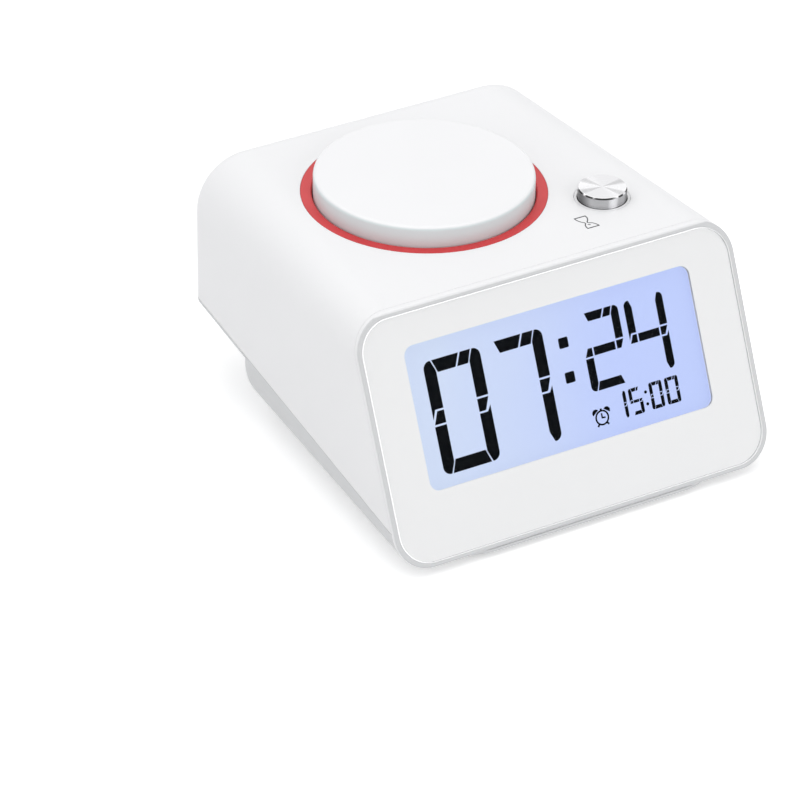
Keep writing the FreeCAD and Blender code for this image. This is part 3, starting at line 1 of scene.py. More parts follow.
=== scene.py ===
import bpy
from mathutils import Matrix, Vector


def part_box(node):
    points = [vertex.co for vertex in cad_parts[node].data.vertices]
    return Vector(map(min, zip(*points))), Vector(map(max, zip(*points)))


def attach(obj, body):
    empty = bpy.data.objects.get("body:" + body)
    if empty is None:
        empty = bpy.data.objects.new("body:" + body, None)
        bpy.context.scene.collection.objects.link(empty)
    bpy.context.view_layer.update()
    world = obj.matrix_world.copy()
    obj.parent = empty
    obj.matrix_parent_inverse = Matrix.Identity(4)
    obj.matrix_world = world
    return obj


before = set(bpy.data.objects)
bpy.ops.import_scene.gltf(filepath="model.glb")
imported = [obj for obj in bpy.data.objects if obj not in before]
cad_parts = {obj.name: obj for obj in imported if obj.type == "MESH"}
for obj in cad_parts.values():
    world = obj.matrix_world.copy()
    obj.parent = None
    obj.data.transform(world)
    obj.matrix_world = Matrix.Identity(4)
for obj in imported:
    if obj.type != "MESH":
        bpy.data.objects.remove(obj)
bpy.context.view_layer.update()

import math

import bmesh
import bpy
from mathutils import Matrix, Vector

# A white bedside alarm clock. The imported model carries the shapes, and this script adds the
# display's figures, the printed marks, the materials, the floor, the lamps and the camera.
# Lengths are in metres, and a number times MM is in millimetres.

MM = 0.001
scene = bpy.context.scene


# The front face leans back; its origin is the middle of its top edge

LEAN = math.radians(24.3)
FACE_TOP = Vector((0.0, -0.032128, 0.061515))
FACE_DOWN = Vector((0.0, -math.sin(LEAN), -math.cos(LEAN)))
FACE_OUT = Vector((0.0, -math.cos(LEAN), math.sin(LEAN)))


def sheet_point(across, down, depth):
    """A point behind the front face, in millimetres from the middle of its top edge."""
    along = Vector((across * MM, 0.0, 0.0)) + FACE_DOWN * (down * MM)
    return FACE_TOP + along - FACE_OUT * (depth * MM)


# Colours and shader helpers

PURE_WHITE = (1.0, 1.0, 1.0, 1.0)
UP = (0.0, 0.0, 1.0)

# A noise texture's values lie mostly between these two
NOISE_LOW = 0.3
NOISE_HIGH = 0.7

# Sockets of the Mix node, whose names are the same for numbers and for colours
MIX_NUMBERS = (2, 3)
MIX_COLOURS = (6, 7)
MIX_COLOUR_RESULT = 2


def shade(red, green, blue):
    """A colour given in display values, 0 to 255, as the shaders take it."""
    def linear(value):
        value = value / 255
        return value / 12.92 if value <= 0.04045 else ((value + 0.055) / 1.055) ** 2.4
    return (linear(red), linear(green), linear(blue), 1.0)


def tint(colour, factor):
    return tuple(min(1.0, channel * factor) for channel in colour[:3]) + (1.0,)


class Shader:
    """The node tree of a material or a world, with short calls for the nodes used here."""

    def __init__(self, owner, output="ShaderNodeOutputMaterial"):
        self.owner = owner
        owner.use_nodes = True
        self.tree = owner.node_tree
        self.tree.nodes.clear()
        self.output = self.node(output)

    def node(self, kind, inputs=None, **settings):
        made = self.tree.nodes.new(kind)
        for key, value in settings.items():
            setattr(made, key, value)
        for key, value in (inputs or {}).items():
            socket = made.inputs[key]
            if isinstance(value, bpy.types.NodeSocket):
                self.tree.links.new(value, socket)
            else:
                socket.default_value = value
        return made

    def place(self):
        return self.node("ShaderNodeTexCoord").outputs["Object"]

    def noise(self, scale, detail=3.0, rough=0.5):
        inputs = {"Vector": self.place(), "Scale": scale, "Detail": detail, "Roughness": rough}
        return self.node("ShaderNodeTexNoise", inputs).outputs["Fac"]

    def ramp(self, factor, low, high, start=0.0, end=1.0):
        """A number or colour that goes from low to high as factor goes from start to end."""
        inputs = {"Value": factor, "From Min": start, "From Max": end}
        if isinstance(low, tuple):
            share = self.node("ShaderNodeMapRange", inputs).outputs["Result"]
            first, second = MIX_COLOURS
            mix = self.node("ShaderNodeMix", {0: share, first: low, second: high}, data_type="RGBA")
            return mix.outputs[MIX_COLOUR_RESULT]
        inputs.update({"To Min": low, "To Max": high})
        return self.node("ShaderNodeMapRange", inputs).outputs["Result"]

    def uneven(self, noise, low, high):
        """A number or colour that wanders between low and high with the noise."""
        return self.ramp(noise, low, high, NOISE_LOW, NOISE_HIGH)

    def blend(self, share, first, second):
        """A number that goes from first to second as share goes from 0 to 1."""
        low, high = MIX_NUMBERS
        return self.node("ShaderNodeMix", {0: share, low: first, high: second}).outputs[0]

    def bump(self, height, strength, distance):
        inputs = {"Height": height, "Strength": strength, "Distance": distance}
        return self.node("ShaderNodeBump", inputs).outputs["Normal"]

    def math(self, operation, first, second=0.0):
        return self.node("ShaderNodeMath", {0: first, 1: second}, operation=operation).outputs[0]

    def total(self, values):
        result = values[0]
        for value in values[1:]:
            result = self.math("ADD", result, value)
        return result

    def vector(self, operation, *values):
        inputs = dict(enumerate(values))
        return self.node("ShaderNodeVectorMath", inputs, operation=operation).outputs

    def dot(self, first, second):
        return self.vector("DOT_PRODUCT", first, second)["Value"]

    def scaled(self, vector, factor):
        inputs = {0: vector, "Scale": factor}
        return self.node("ShaderNodeVectorMath", inputs, operation="SCALE").outputs["Vector"]

    def facing(self, direction):
        """How far the surface faces the direction: 1 along it, 0 square to it."""
        return self.dot(self.node("ShaderNodeTexCoord").outputs["Normal"], direction)

    def seen(self):
        """One for rays from the camera, off gloss and through glass, and nothing for the rest."""
        path = self.node("ShaderNodeLightPath").outputs
        seen = self.math("MAXIMUM", path["Is Camera Ray"], path["Is Glossy Ray"])
        return self.math("MAXIMUM", seen, path["Is Transmission Ray"])

    def principled(self, **inputs):
        named = {key.replace("_", " "): value for key, value in inputs.items()}
        return self.node("ShaderNodeBsdfPrincipled", named).outputs[0]

    def emission(self, strength):
        inputs = {"Color": PURE_WHITE, "Strength": strength}
        return self.node("ShaderNodeEmission", inputs).outputs[0]

    def mix_shaders(self, share, first, second):
        return self.node("ShaderNodeMixShader", {0: share, 1: first, 2: second}).outputs[0]

    def add_shaders(self, first, second):
        return self.node("ShaderNodeAddShader", {0: first, 1: second}).outputs[0]

    def surface(self, socket):
        self.tree.links.new(socket, self.output.inputs["Surface"])
        return self.owner


def material(name):
    return Shader(bpy.data.materials.new(name))


# Materials. Noise scales are in waves per metre.

DRIFT_SCALE = 22.0
GLOSS_SCALE = 90.0
GRAIN_SCALE = 1400.0


def plastic(name, colour, rough, grain=GRAIN_SCALE, bump=0.05, depth=0.04 * MM, drift=0.03):
    """Moulded plastic: fine spark grain, a slow drift of colour and an uneven gloss."""
    spread = 0.05
    make = material(name)
    slow = make.noise(DRIFT_SCALE)
    fine = make.noise(grain, detail=2.0, rough=0.6)
    base = make.uneven(slow, tint(colour, 1 - drift), tint(colour, 1 + drift))
    gloss = make.uneven(make.noise(GLOSS_SCALE, detail=4.0), rough - spread, rough + spread)
    normal = make.bump(fine, bump, depth)
    return make.surface(make.principled(Base_Color=base, Roughness=gloss, Normal=normal))


def metal(name, colour, rough):
    """Bare or plated metal with a fine uneven skin."""
    spread = 0.06
    make = material(name)
    fine = make.noise(900.0, rough=0.6)
    base = make.uneven(make.noise(60.0), tint(colour, 0.93), tint(colour, 1.04))
    gloss = make.uneven(fine, rough - spread, rough + spread)
    normal = make.bump(fine, strength=0.08, distance=0.03 * MM)
    shader = make.principled(Base_Color=base, Metallic=1.0, Roughness=gloss, Normal=normal)
    return make.surface(shader)


def rim_plastic(name, rim, side, outward, edge=None):
    """Moulded plastic in one tone on the face that looks outward and another round its sides. On
    the knob the darker side tone is painted shade.

    With edge, a point and a direction, the side tone also covers the first half millimetre from
    that point along that direction, as a painted highlight along that edge.
    """
    make = material(name)
    share = make.ramp(make.facing(outward), 0.0, 1.0, start=0.4, end=0.8)
    # The band along the given edge keeps the side tone: a painted highlight.
    if edge:
        point, inward = edge
        depth = make.dot(make.vector("SUBTRACT", make.place(), point)["Vector"], inward)
        below_painted_highlight = make.ramp(depth, 0.0, 1.0, start=0.4 * MM, end=0.8 * MM)
        share = make.math("MULTIPLY", share, below_painted_highlight)
    tone = make.ramp(share, side, rim)
    base = make.scaled(tone, make.uneven(make.noise(DRIFT_SCALE), 0.99, 1.01))
    gloss = make.uneven(make.noise(GLOSS_SCALE, detail=4.0), 0.34, 0.44)
    fine = make.noise(GRAIN_SCALE, detail=2.0, rough=0.6)
    grain = make.bump(fine, strength=0.05, distance=0.04 * MM)
    return make.surface(make.principled(Base_Color=base, Roughness=gloss, Normal=grain))


# Painted reflections on the turned metal, bright and dark bands that stand in for its bow-tie
# highlight: each has a bearing and the angle over which it fades, in degrees

TOP_PAINTED_REFLECTIONS = ((115.0, 15.0), (0.0, 15.0), (177.0, 15.0), (-64.0, 15.0))
EDGE_PAINTED_REFLECTIONS = (
    (174.0, 16.0), (-156.0, 12.0), (-118.0, 34.0), (-74.0, 10.0), (-44.0, 13.0), (60.0, 20.0),
)
WALL_PAINTED_HIGHLIGHTS = ((-95.0, 14.0),)
WALL_PAINTED_DARK_REFLECTIONS = ((170.0, 40.0), (-38.0, 24.0), (80.0, 60.0))

# Depths under its top face between which the top's painted reflections, and those of the edge, give
# way
TOP_LAYER = (0.03 * MM, 0.01 * MM)
EDGE_LAYER = (0.48 * MM, 0.42 * MM)


def spun_metal(name, colour, centre, top):
    """Metal turned on a lathe: fine rings round a centre, a polished edge, and painted reflections
    in bands across the top, the edge and the wall.
    """
    make = material(name)
    shifted = make.vector("SUBTRACT", make.place(), centre)["Vector"]
    flat = make.vector("MULTIPLY", shifted, (1.0, 1.0, 0.0))["Vector"]
    around = make.vector("NORMALIZE", flat)["Vector"]
    radius = make.vector("LENGTH", flat)["Value"]
    turned = {"W": radius, "Scale": 9000.0, "Detail": 2.0}
    rings = make.node("ShaderNodeTexNoise", turned, noise_dimensions="1D").outputs["Fac"]

    def painted_reflections(rows):
        """One near the given bearings, falling to nothing as far away as each one fades."""
        found = []
        for degrees, fade in rows:
            angle = math.radians(degrees)
            bearing = (math.cos(angle), math.sin(angle), 0.0)
            limit = math.cos(math.radians(fade))
            found.append(make.ramp(make.dot(around, bearing), 0.0, 1.0, limit, 1.0))
        return make.total(found)

    height = make.node("ShaderNodeSeparateXYZ", {0: make.place()}).outputs["Z"]
    on_top = make.ramp(height, 0.0, 1.0, top - TOP_LAYER[0], top - TOP_LAYER[1])
    on_side = make.ramp(height, 1.0, 0.0, top - EDGE_LAYER[0], top - EDGE_LAYER[1])
    # These tones paint the metal's reflections into its colour: dark bands on the top and the edge,
    # bright and dark bands on the wall.
    wall_reflections = make.math("SUBTRACT", painted_reflections(WALL_PAINTED_HIGHLIGHTS), painted_reflections(WALL_PAINTED_DARK_REFLECTIONS))
    top_reflection_tone = make.ramp(painted_reflections(TOP_PAINTED_REFLECTIONS), 1.0, 0.72)
    edge_reflection_tone = make.ramp(painted_reflections(EDGE_PAINTED_REFLECTIONS), 0.95, 0.05, start=0.0, end=0.7)
    wall_reflection_tone = make.ramp(wall_reflections, 0.16, 0.98, start=-1.0, end=1.0)
    tone = make.blend(on_top, make.blend(on_side, edge_reflection_tone, wall_reflection_tone), top_reflection_tone)
    fine = make.uneven(rings, 0.95, 1.05)
    base = make.scaled(colour[:3], make.math("MULTIPLY", tone, fine))
    gloss = make.uneven(rings, 0.2, 0.3)
    tangent = make.node("ShaderNodeTangent", direction_type="RADIAL", axis="Z").outputs[0]
    normal = make.bump(rings, strength=0.25, distance=0.01 * MM)
    shader = make.principled(
        Base_Color=base, Metallic=1.0, Roughness=gloss, Normal=normal,
        Anisotropic=0.8, Tangent=tangent,
    )
    return make.surface(shader)


def lit_panel():
    """The display glass: a lit, pale blue field, a little bluer towards the right."""
    left_tone = shade(209, 221, 246)
    right_tone = shade(193, 207, 253)
    make = material("display_field")
    across = make.node("ShaderNodeSeparateXYZ", {0: make.place()}).outputs["X"]
    wave = make.uneven(make.noise(26.0, detail=2.0), -6 * MM, 6 * MM)
    along = make.math("ADD", across, wave)
    field = make.ramp(along, left_tone, right_tone, start=-35 * MM, end=20 * MM)
    lit = make.scaled(field, make.uneven(make.noise(5200.0, detail=1.0), 0.97, 1.03))
    shader = make.principled(
        Base_Color=make.scaled(lit, 0.25), Roughness=0.5, Specular_IOR_Level=0.1,
        Emission_Color=lit, Emission_Strength=0.79,
    )
    return make.surface(shader)


def lens_glass():
    """The clear front sheet: light passes straight through, and its polished edge carries a painted
    highlight, pale and faintly glowing.
    """
    clear_tone = (0.985, 0.99, 0.99, 1.0)
    mirror_share = 0.04
    edge_gloss = 0.6
    painted_edge_glow = 0.3
    make = material("clear_sheet")
    haze = make.uneven(make.noise(40.0), 0.03, 0.06)
    clear = make.node("ShaderNodeBsdfTransparent", {"Color": clear_tone}).outputs[0]
    polish = {"Color": PURE_WHITE, "Roughness": haze}
    shine = make.node("ShaderNodeBsdfGlossy", polish).outputs[0]
    mirror = make.node("ShaderNodeFresnel", {"IOR": 1.45}).outputs[0]
    front = make.math("SUBTRACT", 1.0, make.node("ShaderNodeNewGeometry").outputs["Backfacing"])
    share = make.math("MULTIPLY", make.math("MULTIPLY", mirror, front), mirror_share)
    sheet = make.mix_shaders(share, clear, shine)
    # The edge is a painted highlight: a pale diffuse white mixed with gloss, plus a faint glow.
    pale = make.node("ShaderNodeBsdfDiffuse", {"Color": shade(248, 248, 248)}).outputs[0]
    edge = make.mix_shaders(edge_gloss, pale, shine)
    edge = make.add_shaders(edge, make.emission(painted_edge_glow))
    facing = make.facing(FACE_OUT)
    off_front = make.ramp(facing, 1.0, 0.0, start=0.9, end=0.98)
    off_side = make.ramp(facing, 0.0, 1.0, start=0.2, end=0.4)
    painted_highlight_share = make.math("MULTIPLY", off_front, off_side)
    return make.surface(make.mix_shaders(painted_highlight_share, sheet, edge))


def glow_ring():
    """The light ring: a red diffuser that glows a little, unevenly along its length."""
    make = material("glowing_ring")
    patch = make.noise(70.0)
    base = make.uneven(patch, shade(200, 46, 50), shade(212, 58, 62))
    glow = make.uneven(patch, 0.01, 0.03)
    normal = make.bump(make.noise(1500.0, detail=2.0), strength=0.05, distance=0.03 * MM)
    shader = make.principled(
        Base_Color=base, Roughness=0.42, Normal=normal,
        Emission_Color=shade(235, 70, 66), Emission_Strength=glow,
    )
    return make.surface(shader)


def ink(name, colour, rough=0.5):
    """A printed or lit-out figure: nearly flat, with a trace of grain."""
    make = material(name)
    base = make.uneven(make.noise(2500.0, detail=2.0), tint(colour, 0.8), tint(colour, 1.2))
    shader = make.principled(Base_Color=base, Roughness=rough, Specular_IOR_Level=0.05)
    return make.surface(shader)


def circuit(name):
    """Green lacquer over copper runs."""
    make = material(name)
    inputs = {"Vector": make.place(), "Scale": 340.0}
    cells = make.node("ShaderNodeTexVoronoi", inputs, distance="CHEBYCHEV").outputs["Distance"]
    tracks = make.ramp(cells, 1.0, 0.0, start=0.25, end=0.3)
    base = make.ramp(tracks, shade(22, 92, 58), shade(44, 128, 74))
    normal = make.bump(tracks, strength=0.3, distance=0.05 * MM)
    shader = make.principled(Base_Color=base, Roughness=0.35, Normal=normal, Coat_Weight=0.3)
    return make.surface(shader)


def cone_paper(name):
    """Pressed paper with a fibre."""
    make = material(name)
    fibre = make.noise(1800.0, detail=4.0, rough=0.7)
    base = make.uneven(fibre, shade(38, 37, 36), shade(66, 64, 62))
    normal = make.bump(fibre, strength=0.4, distance=0.1 * MM)
    return make.surface(make.principled(Base_Color=base, Roughness=0.85, Normal=normal))


WHITE = shade(243, 243, 244)
PALE = shade(216, 217, 218)
nap_low, nap_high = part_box("nap_button")
nap_centre = (Vector(nap_low) + Vector(nap_high)) / 2

shell_white = plastic("shell_white", WHITE, 0.42, drift=0.006)
# Knob cap: the darker, slightly cyan tone on its sides is painted shade, tinted to cancel the red
# light the ring throws on them.
knob_white = rim_plastic("knob_white", shade(245, 245, 246), shade(217, 225, 226), UP)
collar_white = plastic("collar_white", WHITE, 0.4, drift=0.006)
# Bezel: grey on the rim's face and white round its sides, with a white band along the rim's top
# edge that is a painted highlight.
bezel_grey = rim_plastic(
    "bezel_grey", shade(212, 213, 214), WHITE, FACE_OUT, edge=(FACE_TOP, FACE_DOWN),
)
base_grey = plastic("base_grey", PALE, 0.48, drift=0.012, grain=1100.0, bump=0.08)
door_grey = plastic("door_grey", shade(208, 209, 210), 0.5, drift=0.012, grain=1100.0, bump=0.08)
mask_white = plastic("mask_white", shade(247, 246, 246), 0.6, drift=0.005, bump=0.02)
holder_white = plastic("holder_white", shade(236, 236, 232), 0.55)
light_guide = plastic("light_guide", shade(232, 238, 245), 0.3)
feet_rubber = plastic("feet_rubber", shade(96, 98, 100), 0.82, 900.0, bump=0.25, depth=0.1 * MM)
dark_plastic = plastic("dark_plastic", shade(52, 53, 56), 0.5, bump=0.1)
black_plastic = plastic("black_plastic", shade(26, 26, 28), 0.42, bump=0.08)
contact_rubber = plastic("zebra_rubber", shade(58, 58, 62), 0.7)
film = plastic("ribbon_film", shade(196, 150, 74), 0.35, drift=0.05)
socket_cream = plastic("socket_cream", shade(228, 224, 210), 0.45)
plated = metal("plated_steel", shade(196, 198, 202), 0.3)
nickel = metal("nickel", shade(206, 205, 200), 0.24)
brass = metal("brass", shade(206, 178, 110), 0.28)
ferrite = plastic("ferrite", shade(44, 44, 46), 0.6, 700.0, bump=0.3, depth=0.1 * MM)
spun = spun_metal("spun_steel", shade(238, 238, 240), nap_centre, nap_high[2])
green_board = circuit("green_board")
paper = cone_paper("speaker_paper")

FINISH = {
    "housing_shell": shell_white, "base_tray": base_grey, "rubber_feet": feet_rubber,
    "front_bezel": bezel_grey, "display_lens": lens_glass(), "lens_mask": mask_white,
    "lcd_glass": lit_panel(), "backlight_panel": light_guide, "display_holder": holder_white,
    "lcd_connector": contact_rubber, "display_board": green_board, "display_screws": plated,
    "knob_well": dark_plastic, "light_ring": glow_ring(), "ring_led_board": green_board,
    "ring_leds": socket_cream, "knob_cap": knob_white, "knob_hub": black_plastic,
    "encoder_shaft": plated, "encoder_body": dark_plastic, "encoder_bushing": plated,
    "encoder_nut": plated, "encoder_plunger": black_plastic, "nap_collar": collar_white,
    "nap_button": spun, "nap_plunger": black_plastic, "nap_switch": black_plastic,
    "switch_actuator": dark_plastic, "control_board": green_board, "control_board_screws": plated,
    "main_board": green_board, "main_board_screws": plated, "main_chip": black_plastic,
    "power_capacitors": dark_plastic, "power_inductor": ferrite, "board_link": black_plastic,
    "ribbon_socket": socket_cream, "display_ribbon": film, "case_screws": plated,
    "usb_sockets": plated, "usb_tongues": socket_cream, "port_panel": dark_plastic,
    "dc_inlet": black_plastic, "dc_inlet_pin": brass, "shaker_jack": black_plastic,
    "speaker_frame": plated, "speaker_cone": paper, "speaker_magnet": ferrite,
    "battery_door": door_grey, "coin_cell": nickel, "battery_contact": plated,
    "battery_cup": black_plastic,
}
for name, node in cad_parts.items():
    node.data.materials.clear()
    node.data.materials.append(FINISH[name])


# Outlines of the flat figures, in millimetres, with y pointing down on the front face

def arc(x, y, radius, start, end, steps):
    """Points on a circle between two angles in degrees."""
    points = []
    for index in range(steps + 1):
        angle = math.radians(start + (end - start) * index / steps)
        points.append((x + radius * math.cos(angle), y + radius * math.sin(angle)))
    return points


def rounded_rectangle(left, top, right, low, radius, steps):
    points = arc(left + radius, top + radius, radius, 180, 270, steps)
    points += arc(right - radius, top + radius, radius, 270, 360, steps)
    points += arc(right - radius, low - radius, radius, 0, 90, steps)
    points += arc(left + radius, low - radius, radius, 90, 180, steps)
    return points


def band(points, width):
    """Quadrilaterals of one width along a line of points."""
    made = []
    for (x0, y0), (x1, y1) in zip(points, points[1:]):
        length = math.hypot(x1 - x0, y1 - y0)
        side_x = -(y1 - y0) / length * width / 2
        side_y = (x1 - x0) / length * width / 2
        made.append([
            (x0 + side_x, y0 + side_y), (x1 + side_x, y1 + side_y),
            (x1 - side_x, y1 - side_y), (x0 - side_x, y0 - side_y),
        ])
    return made


def round_band(x, y, radius, width, steps):
    """A full circle's band, as neighbouring quadrilaterals."""
    inner = arc(x, y, radius - width / 2, 0, 360, steps)
    outer = arc(x, y, radius + width / 2, 0, 360, steps)
    return [[outer[i], outer[i + 1], inner[i + 1], inner[i]] for i in range(steps)]


# The seven pieces of a figure: a top, b and c right, d bottom, e and f left, g middle
LIT_PIECES = {"0": "abcdef", "1": "bc", "2": "abged", "4": "fgbc", "5": "afgcd", "7": "abc"}


def figure(digit, left, top, right, low, stroke, gap):
    """The lit pieces of one figure, with the slanted gaps that such displays have."""
    lit = LIT_PIECES[digit]
    high = low - top
    half = gap / 2
    corner = 0.62 * stroke
    outer = 0.58 * stroke
    slant = 0.36 * stroke
    hook_slant = 0.8 * slant
    upper_end = top + 0.4235 * high
    hook = top + 0.507 * high
    block_top = upper_end + gap
    block_low = top + 0.553 * high
    lower_start = block_low + gap
    pieces = []

    def mirrored(points, flip_x, flip_y):
        made = []
        for x, y in points:
            made.append((left + right - x if flip_x else x, top + low - y if flip_y else y))
        return made

    # The rounded, mitred head of an upright piece on the left
    head = arc(left + corner, top + corner, corner, 180, 262, 6)
    head.append((left + outer + half, top + 0.02 * stroke))
    head.append((left + stroke, top + stroke * 0.93 - half))

    if "f" in lit:
        foot = [(left + stroke, upper_end), (left + hook_slant, upper_end), (left, hook)]
        pieces.append(foot + head)
    if "e" in lit:
        start = [(left, lower_start), (left + stroke, lower_start)]
        pieces.append(start + mirrored(head, False, True)[::-1])
    if "b" in lit:
        foot = [(right - stroke, upper_end), (right, upper_end)]
        pieces.append(foot + mirrored(head, True, False))
    if "c" in lit:
        start = [
            (right, hook + 0.01 * high), (right - hook_slant, lower_start),
            (right - stroke, lower_start),
        ]
        pieces.append(start + mirrored(head, True, True)[::-1])
    if set("fe") & set(lit):
        pieces.append([
            (left + slant + half, block_top), (left + stroke, block_top),
            (left + stroke, block_low), (left + half * 0.4, block_low),
        ])
    if set("bc") & set(lit):
        pieces.append([
            (right - stroke, block_top), (right - half * 0.4, block_top),
            (right - slant - half, block_low), (right - stroke, block_low),
        ])
    start_outer = left + outer + gap * 1.25
    start_inner = left + stroke + gap * 0.9
    end_outer = right - outer - gap * 1.25
    end_inner = right - stroke - gap * 0.9
    if "a" in lit:
        split_top = left + 0.645 * (right - left)
        split_low = split_top - 0.42 * stroke
        pieces.append([
            (start_outer, top), (split_top - half, top),
            (split_low - half, top + stroke), (start_inner, top + stroke),
        ])
        pieces.append([
            (split_top + half, top), (end_outer, top),
            (end_inner, top + stroke), (split_low + half, top + stroke),
        ])
    if "d" in lit:
        pieces.append([
            (start_inner, low - stroke), (end_inner, low - stroke),
            (end_outer, low), (start_outer, low),
        ])
    if "g" in lit:
        pieces.append([
            (left + stroke + gap, block_top), (right - stroke - gap, block_top),
            (right - stroke - gap, block_low), (left + stroke + gap, block_low),
        ])
    return pieces


def figures(rows):
    return [piece for row in rows for piece in figure(*row)]


def alarm_symbol(x, y):
    """A round alarm clock with two hands, two bells, two feet and a stem, its middle at x, y."""
    hand, foot, stem = 0.4, 0.5, 0.55
    shapes = round_band(x, y, radius=1.78, width=0.44, steps=40)
    shapes += band([(x, y - 1.15), (x, y)], hand)
    shapes += band([(x - 0.17, y), (x + 0.95, y + 0.12)], hand)
    for side, start in ((-1, 145), (1, 215)):
        shapes.append(arc(x + side * 1.62, y - 1.52, 0.98, start, start + 180, 10))
        shapes += band([(x + side * 1.15, y + 1.5), (x + side * 1.62, y + 2.05)], foot)
    shapes += band([(x, y - 2.35), (x, y - 1.9)], stem)
    return shapes


# Pieces made from the outlines

def add_piece(work, name, look):
    """Turn the built faces into a piece that rides on the clock's body."""
    bmesh.ops.recalc_face_normals(work, faces=work.faces[:])
    mesh = bpy.data.meshes.new(name)
    work.to_mesh(mesh)
    work.free()
    mesh.materials.append(look)
    piece = bpy.data.objects.new(name, mesh)
    scene.collection.objects.link(piece)
    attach(piece, "clock")


def add_prisms(name, polygons, place, look):
    """Thin raised figures: each polygon becomes a closed prism between two depths."""
    work = bmesh.new()
    for polygon in polygons:
        front = [work.verts.new(place(x, y, True)) for x, y in polygon]
        back = [work.verts.new(place(x, y, False)) for x, y in polygon]
        work.faces.new(front)
        work.faces.new(back[::-1])
        count = len(polygon)
        for index in range(count):
            after = (index + 1) % count
            work.faces.new((front[index], back[index], back[after], front[after]))
    add_piece(work, name, look)


def add_sheet_frame(name, outer, inner, near, far, look):
    """A flat frame between two rounded rectangles and two depths behind the front face."""
    work = bmesh.new()
    rows = []
    for depth, outline in ((near, outer), (near, inner), (far, inner), (far, outer)):
        loop = rounded_rectangle(*outline, steps=10)
        rows.append([work.verts.new(sheet_point(x, y, depth)) for x, y in loop])
    count = len(rows[0])
    for index in range(count):
        after = (index + 1) % count
        for first, second in zip(rows, rows[1:] + rows[:1]):
            work.faces.new((first[index], first[after], second[after], second[index]))
    add_piece(work, name, look)


# The display's figures. Their places were read through the sheet, which is why they shift.

FIGURE_FRONT = 2.24
FIGURE_BACK = 2.29
SHIFT_ACROSS = 1.107
SHIFT_DOWN = 0.483


def display_place(x, y, front):
    return sheet_point(x + SHIFT_ACROSS, y + SHIFT_DOWN, FIGURE_FRONT if front else FIGURE_BACK)


# Each figure's digit, left, top, right and lower edge, stroke and gap
HOURS = (
    ("0", -37.94, 14.7, -21.69, 43.7, 3.33, 0.5),
    ("7", -19.89, 14.7, -3.64, 43.6, 3.2, 0.5),
)
MINUTES = (
    ("2", 7.19, 14.39, 18.86, 34.45, 2.25, 0.45),
    ("4", 20.6, 14.4, 32.06, 34.25, 2.2, 0.45),
)
ALARM_TIME = (
    ("1", 12.6, 36.33, 16.35, 43.28, 0.92, 0.18),
    ("5", 17.2, 36.33, 21.0, 43.28, 0.92, 0.18),
    ("0", 23.3, 36.33, 27.1, 43.28, 0.92, 0.18),
    ("0", 28.0, 36.33, 31.95, 43.28, 0.92, 0.18),
)
COLONS = [
    rounded_rectangle(0.44, 18.7, 3.17, 21.4, radius=0.35, steps=4),
    rounded_rectangle(0.44, 27.6, 3.17, 30.4, radius=0.35, steps=4),
    arc(22.14, 38.3, 0.42, 0, 330, steps=11),
    arc(22.14, 41.4, 0.42, 0, 330, steps=11),
]
figure_black = ink("figure_black", shade(6, 8, 12), rough=0.85)
for name, polygons in (
    ("hour_figures", figures(HOURS)),
    ("minute_figures", figures(MINUTES)),
    ("alarm_figures", figures(ALARM_TIME)),
    ("colon_marks", COLONS),
    ("alarm_symbol", alarm_symbol(8.58, 41.33)),
):
    add_prisms(name, polygons, display_place, figure_black)


# The white print on the back of the clear sheet, open over the display.
# Each outline is given by its left, top, right and lower edge and its corner radius.

PRINT_OUTER = (-53.35, 1.65, 53.35, 63.65, 8.4)
PRINT_OPENING = (-42.1, 9.83, 41.2, 46.93, 2.7)
PRINT_NEAR = 0.58
PRINT_FAR = 0.64
add_sheet_frame(
    "sheet_print", PRINT_OUTER, PRINT_OPENING, PRINT_NEAR, PRINT_FAR, mask_white,
)


# The hourglass printed on the shell's top beside the metal button, x to the right and y back

SHELL_TOP = 61.515
PRINT_HALF = 0.03
CAP_WIDTH = 0.34
WALL_WIDTH = 0.26
DROP_WIDTH = 0.3
BACK_CAP = ((19.35, -15.98), (22.75, -16.0))
FRONT_CAP = ((19.85, -21.66), (23.35, -21.7))
LEFT_WALL = (
    (19.45, -16.0), (19.6, -17.1), (20.05, -18.1), (20.72, -18.9),
    (20.72, -19.35), (20.2, -20.0), (19.95, -20.8), (19.92, -21.65),
)
RIGHT_WALL = (
    (22.65, -16.0), (22.6, -17.1), (22.1, -18.1), (21.45, -18.85),
    (21.5, -19.3), (22.4, -19.75), (23.0, -20.7), (23.28, -21.68),
)
DROP = ((20.95, -19.95), (21.55, -20.35))


def top_place(x, y, front):
    height = SHELL_TOP + (PRINT_HALF if front else -PRINT_HALF)
    return Vector((x * MM, y * MM, height * MM))


mark = band(BACK_CAP, CAP_WIDTH) + band(FRONT_CAP, CAP_WIDTH)
mark += band(LEFT_WALL, WALL_WIDTH) + band(RIGHT_WALL, WALL_WIDTH)
mark += band(DROP, DROP_WIDTH)
mark_grey = ink("mark_grey", shade(70, 71, 74))
add_prisms("nap_mark", mark, top_place, mark_grey)


# Floor, world, lamps and camera

FLOOR_SIZE = 3.0
FLOOR_DROP = 0.2 * MM
FLOOR_LIFT = 0.42
WORLD_TONE = (0.97, 0.98, 1.0, 1.0)
WORLD_STRENGTH = 0.55
LAMP_TONE = (1.0, 0.995, 0.985)
LAMP_TARGET = Vector((0.0, 0.0, 0.03))

# Each lamp's name, place, side length in metres and power in watts
LAMPS = (
    ("overhead", (-0.05, 0.15, 1.15), 1.6, 7.7),
    ("front_soft", (0.35, -1.15, 0.55), 0.9, 3.2),
    ("left_soft", (-1.25, -0.2, 0.55), 0.9, 2.2),
)


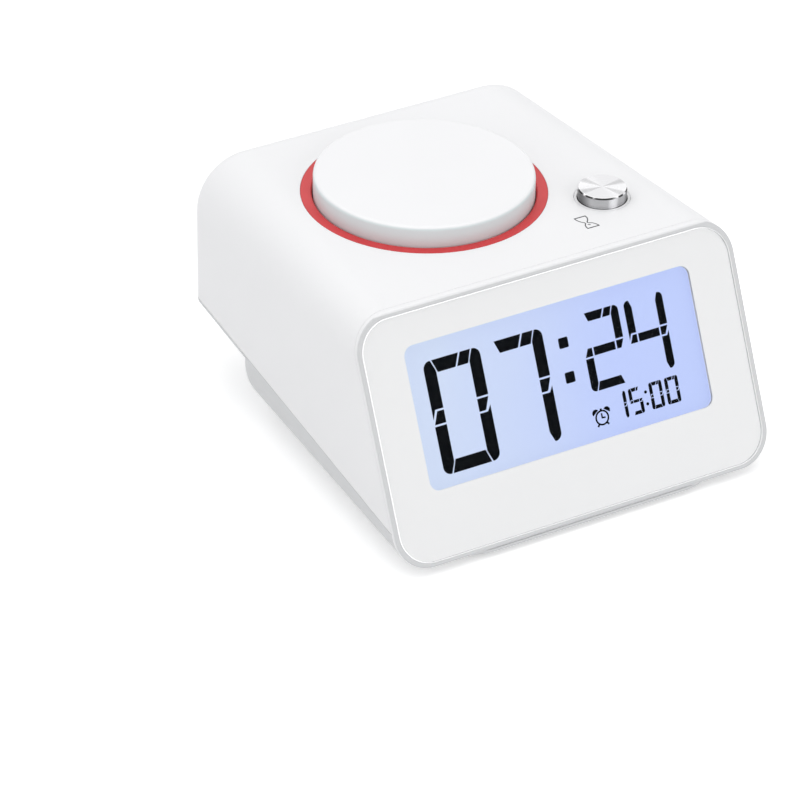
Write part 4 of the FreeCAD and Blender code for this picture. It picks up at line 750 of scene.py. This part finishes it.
def floor_material():
    """A pale floor that stays white behind the object and still takes its soft shadow."""
    make = material("pale_floor")
    lift = make.math("MULTIPLY", make.seen(), FLOOR_LIFT)
    patch = make.noise(3.0, detail=2.0)
    base = make.uneven(patch, shade(233, 233, 233), shade(237, 237, 237))
    matt = make.node("ShaderNodeBsdfDiffuse", {"Color": base}).outputs[0]
    return make.surface(make.add_shaders(matt, make.emission(lift)))


def make_floor():
    mesh = bpy.data.meshes.new("floor")
    work = bmesh.new()
    bmesh.ops.create_grid(work, x_segments=8, y_segments=8, size=FLOOR_SIZE)
    work.to_mesh(mesh)
    work.free()
    mesh.materials.append(floor_material())
    floor = bpy.data.objects.new("floor", mesh)
    floor.location.z = -FLOOR_DROP
    scene.collection.objects.link(floor)


def make_world():
    """A soft even light that is seen as plain white."""
    scene.world = bpy.data.worlds.new("studio")
    make = Shader(scene.world, "ShaderNodeOutputWorld")
    inputs = {"Color": WORLD_TONE, "Strength": WORLD_STRENGTH}
    soft = make.node("ShaderNodeBackground", inputs).outputs[0]
    inputs = {"Color": PURE_WHITE, "Strength": 1.0}
    white = make.node("ShaderNodeBackground", inputs).outputs[0]
    make.surface(make.mix_shaders(make.seen(), soft, white))


def area_lamp(name, place, size, power):
    lamp = bpy.data.lights.new(name, "AREA")
    lamp.shape = "SQUARE"
    lamp.size = size
    lamp.energy = power
    lamp.color = LAMP_TONE
    item = bpy.data.objects.new(name, lamp)
    item.location = place
    item.rotation_mode = "QUATERNION"
    item.rotation_quaternion = (LAMP_TARGET - Vector(place)).to_track_quat("-Z", "Y")
    scene.collection.objects.link(item)


# The photograph's viewpoint, from the fit of the object's edges: angles in degrees, lens in mm
AZIMUTH = math.radians(30.63)
ELEVATION = math.radians(32.311)
ROLL = math.radians(0.8308)
LENS = 215.13
SENSOR = 36.0
CAMERA_PLACE = Vector((-0.550623, -0.893636, 0.667970))


def make_camera():
    """Look along the azimuth and down by the elevation, turned a little by the roll."""
    level = Vector((math.sin(AZIMUTH), math.cos(AZIMUTH), 0.0))
    ahead = level * math.cos(ELEVATION) - Vector(UP) * math.sin(ELEVATION)
    right = Vector((math.cos(AZIMUTH), -math.sin(AZIMUTH), 0.0))
    down = ahead.cross(right)
    turned_right = right * math.cos(ROLL) - down * math.sin(ROLL)
    turned_down = right * math.sin(ROLL) + down * math.cos(ROLL)
    data = bpy.data.cameras.new("camera")
    data.sensor_width = SENSOR
    data.lens = LENS
    data.clip_start = 0.05
    data.clip_end = 20.0
    camera = bpy.data.objects.new("camera", data)
    basis = Matrix((turned_right, -turned_down, -ahead)).transposed().to_4x4()
    basis.translation = CAMERA_PLACE
    camera.matrix_world = basis
    scene.collection.objects.link(camera)
    scene.camera = camera


make_floor()
make_world()
make_camera()
for row in LAMPS:
    area_lamp(*row)

scene.view_settings.view_transform = "Standard"
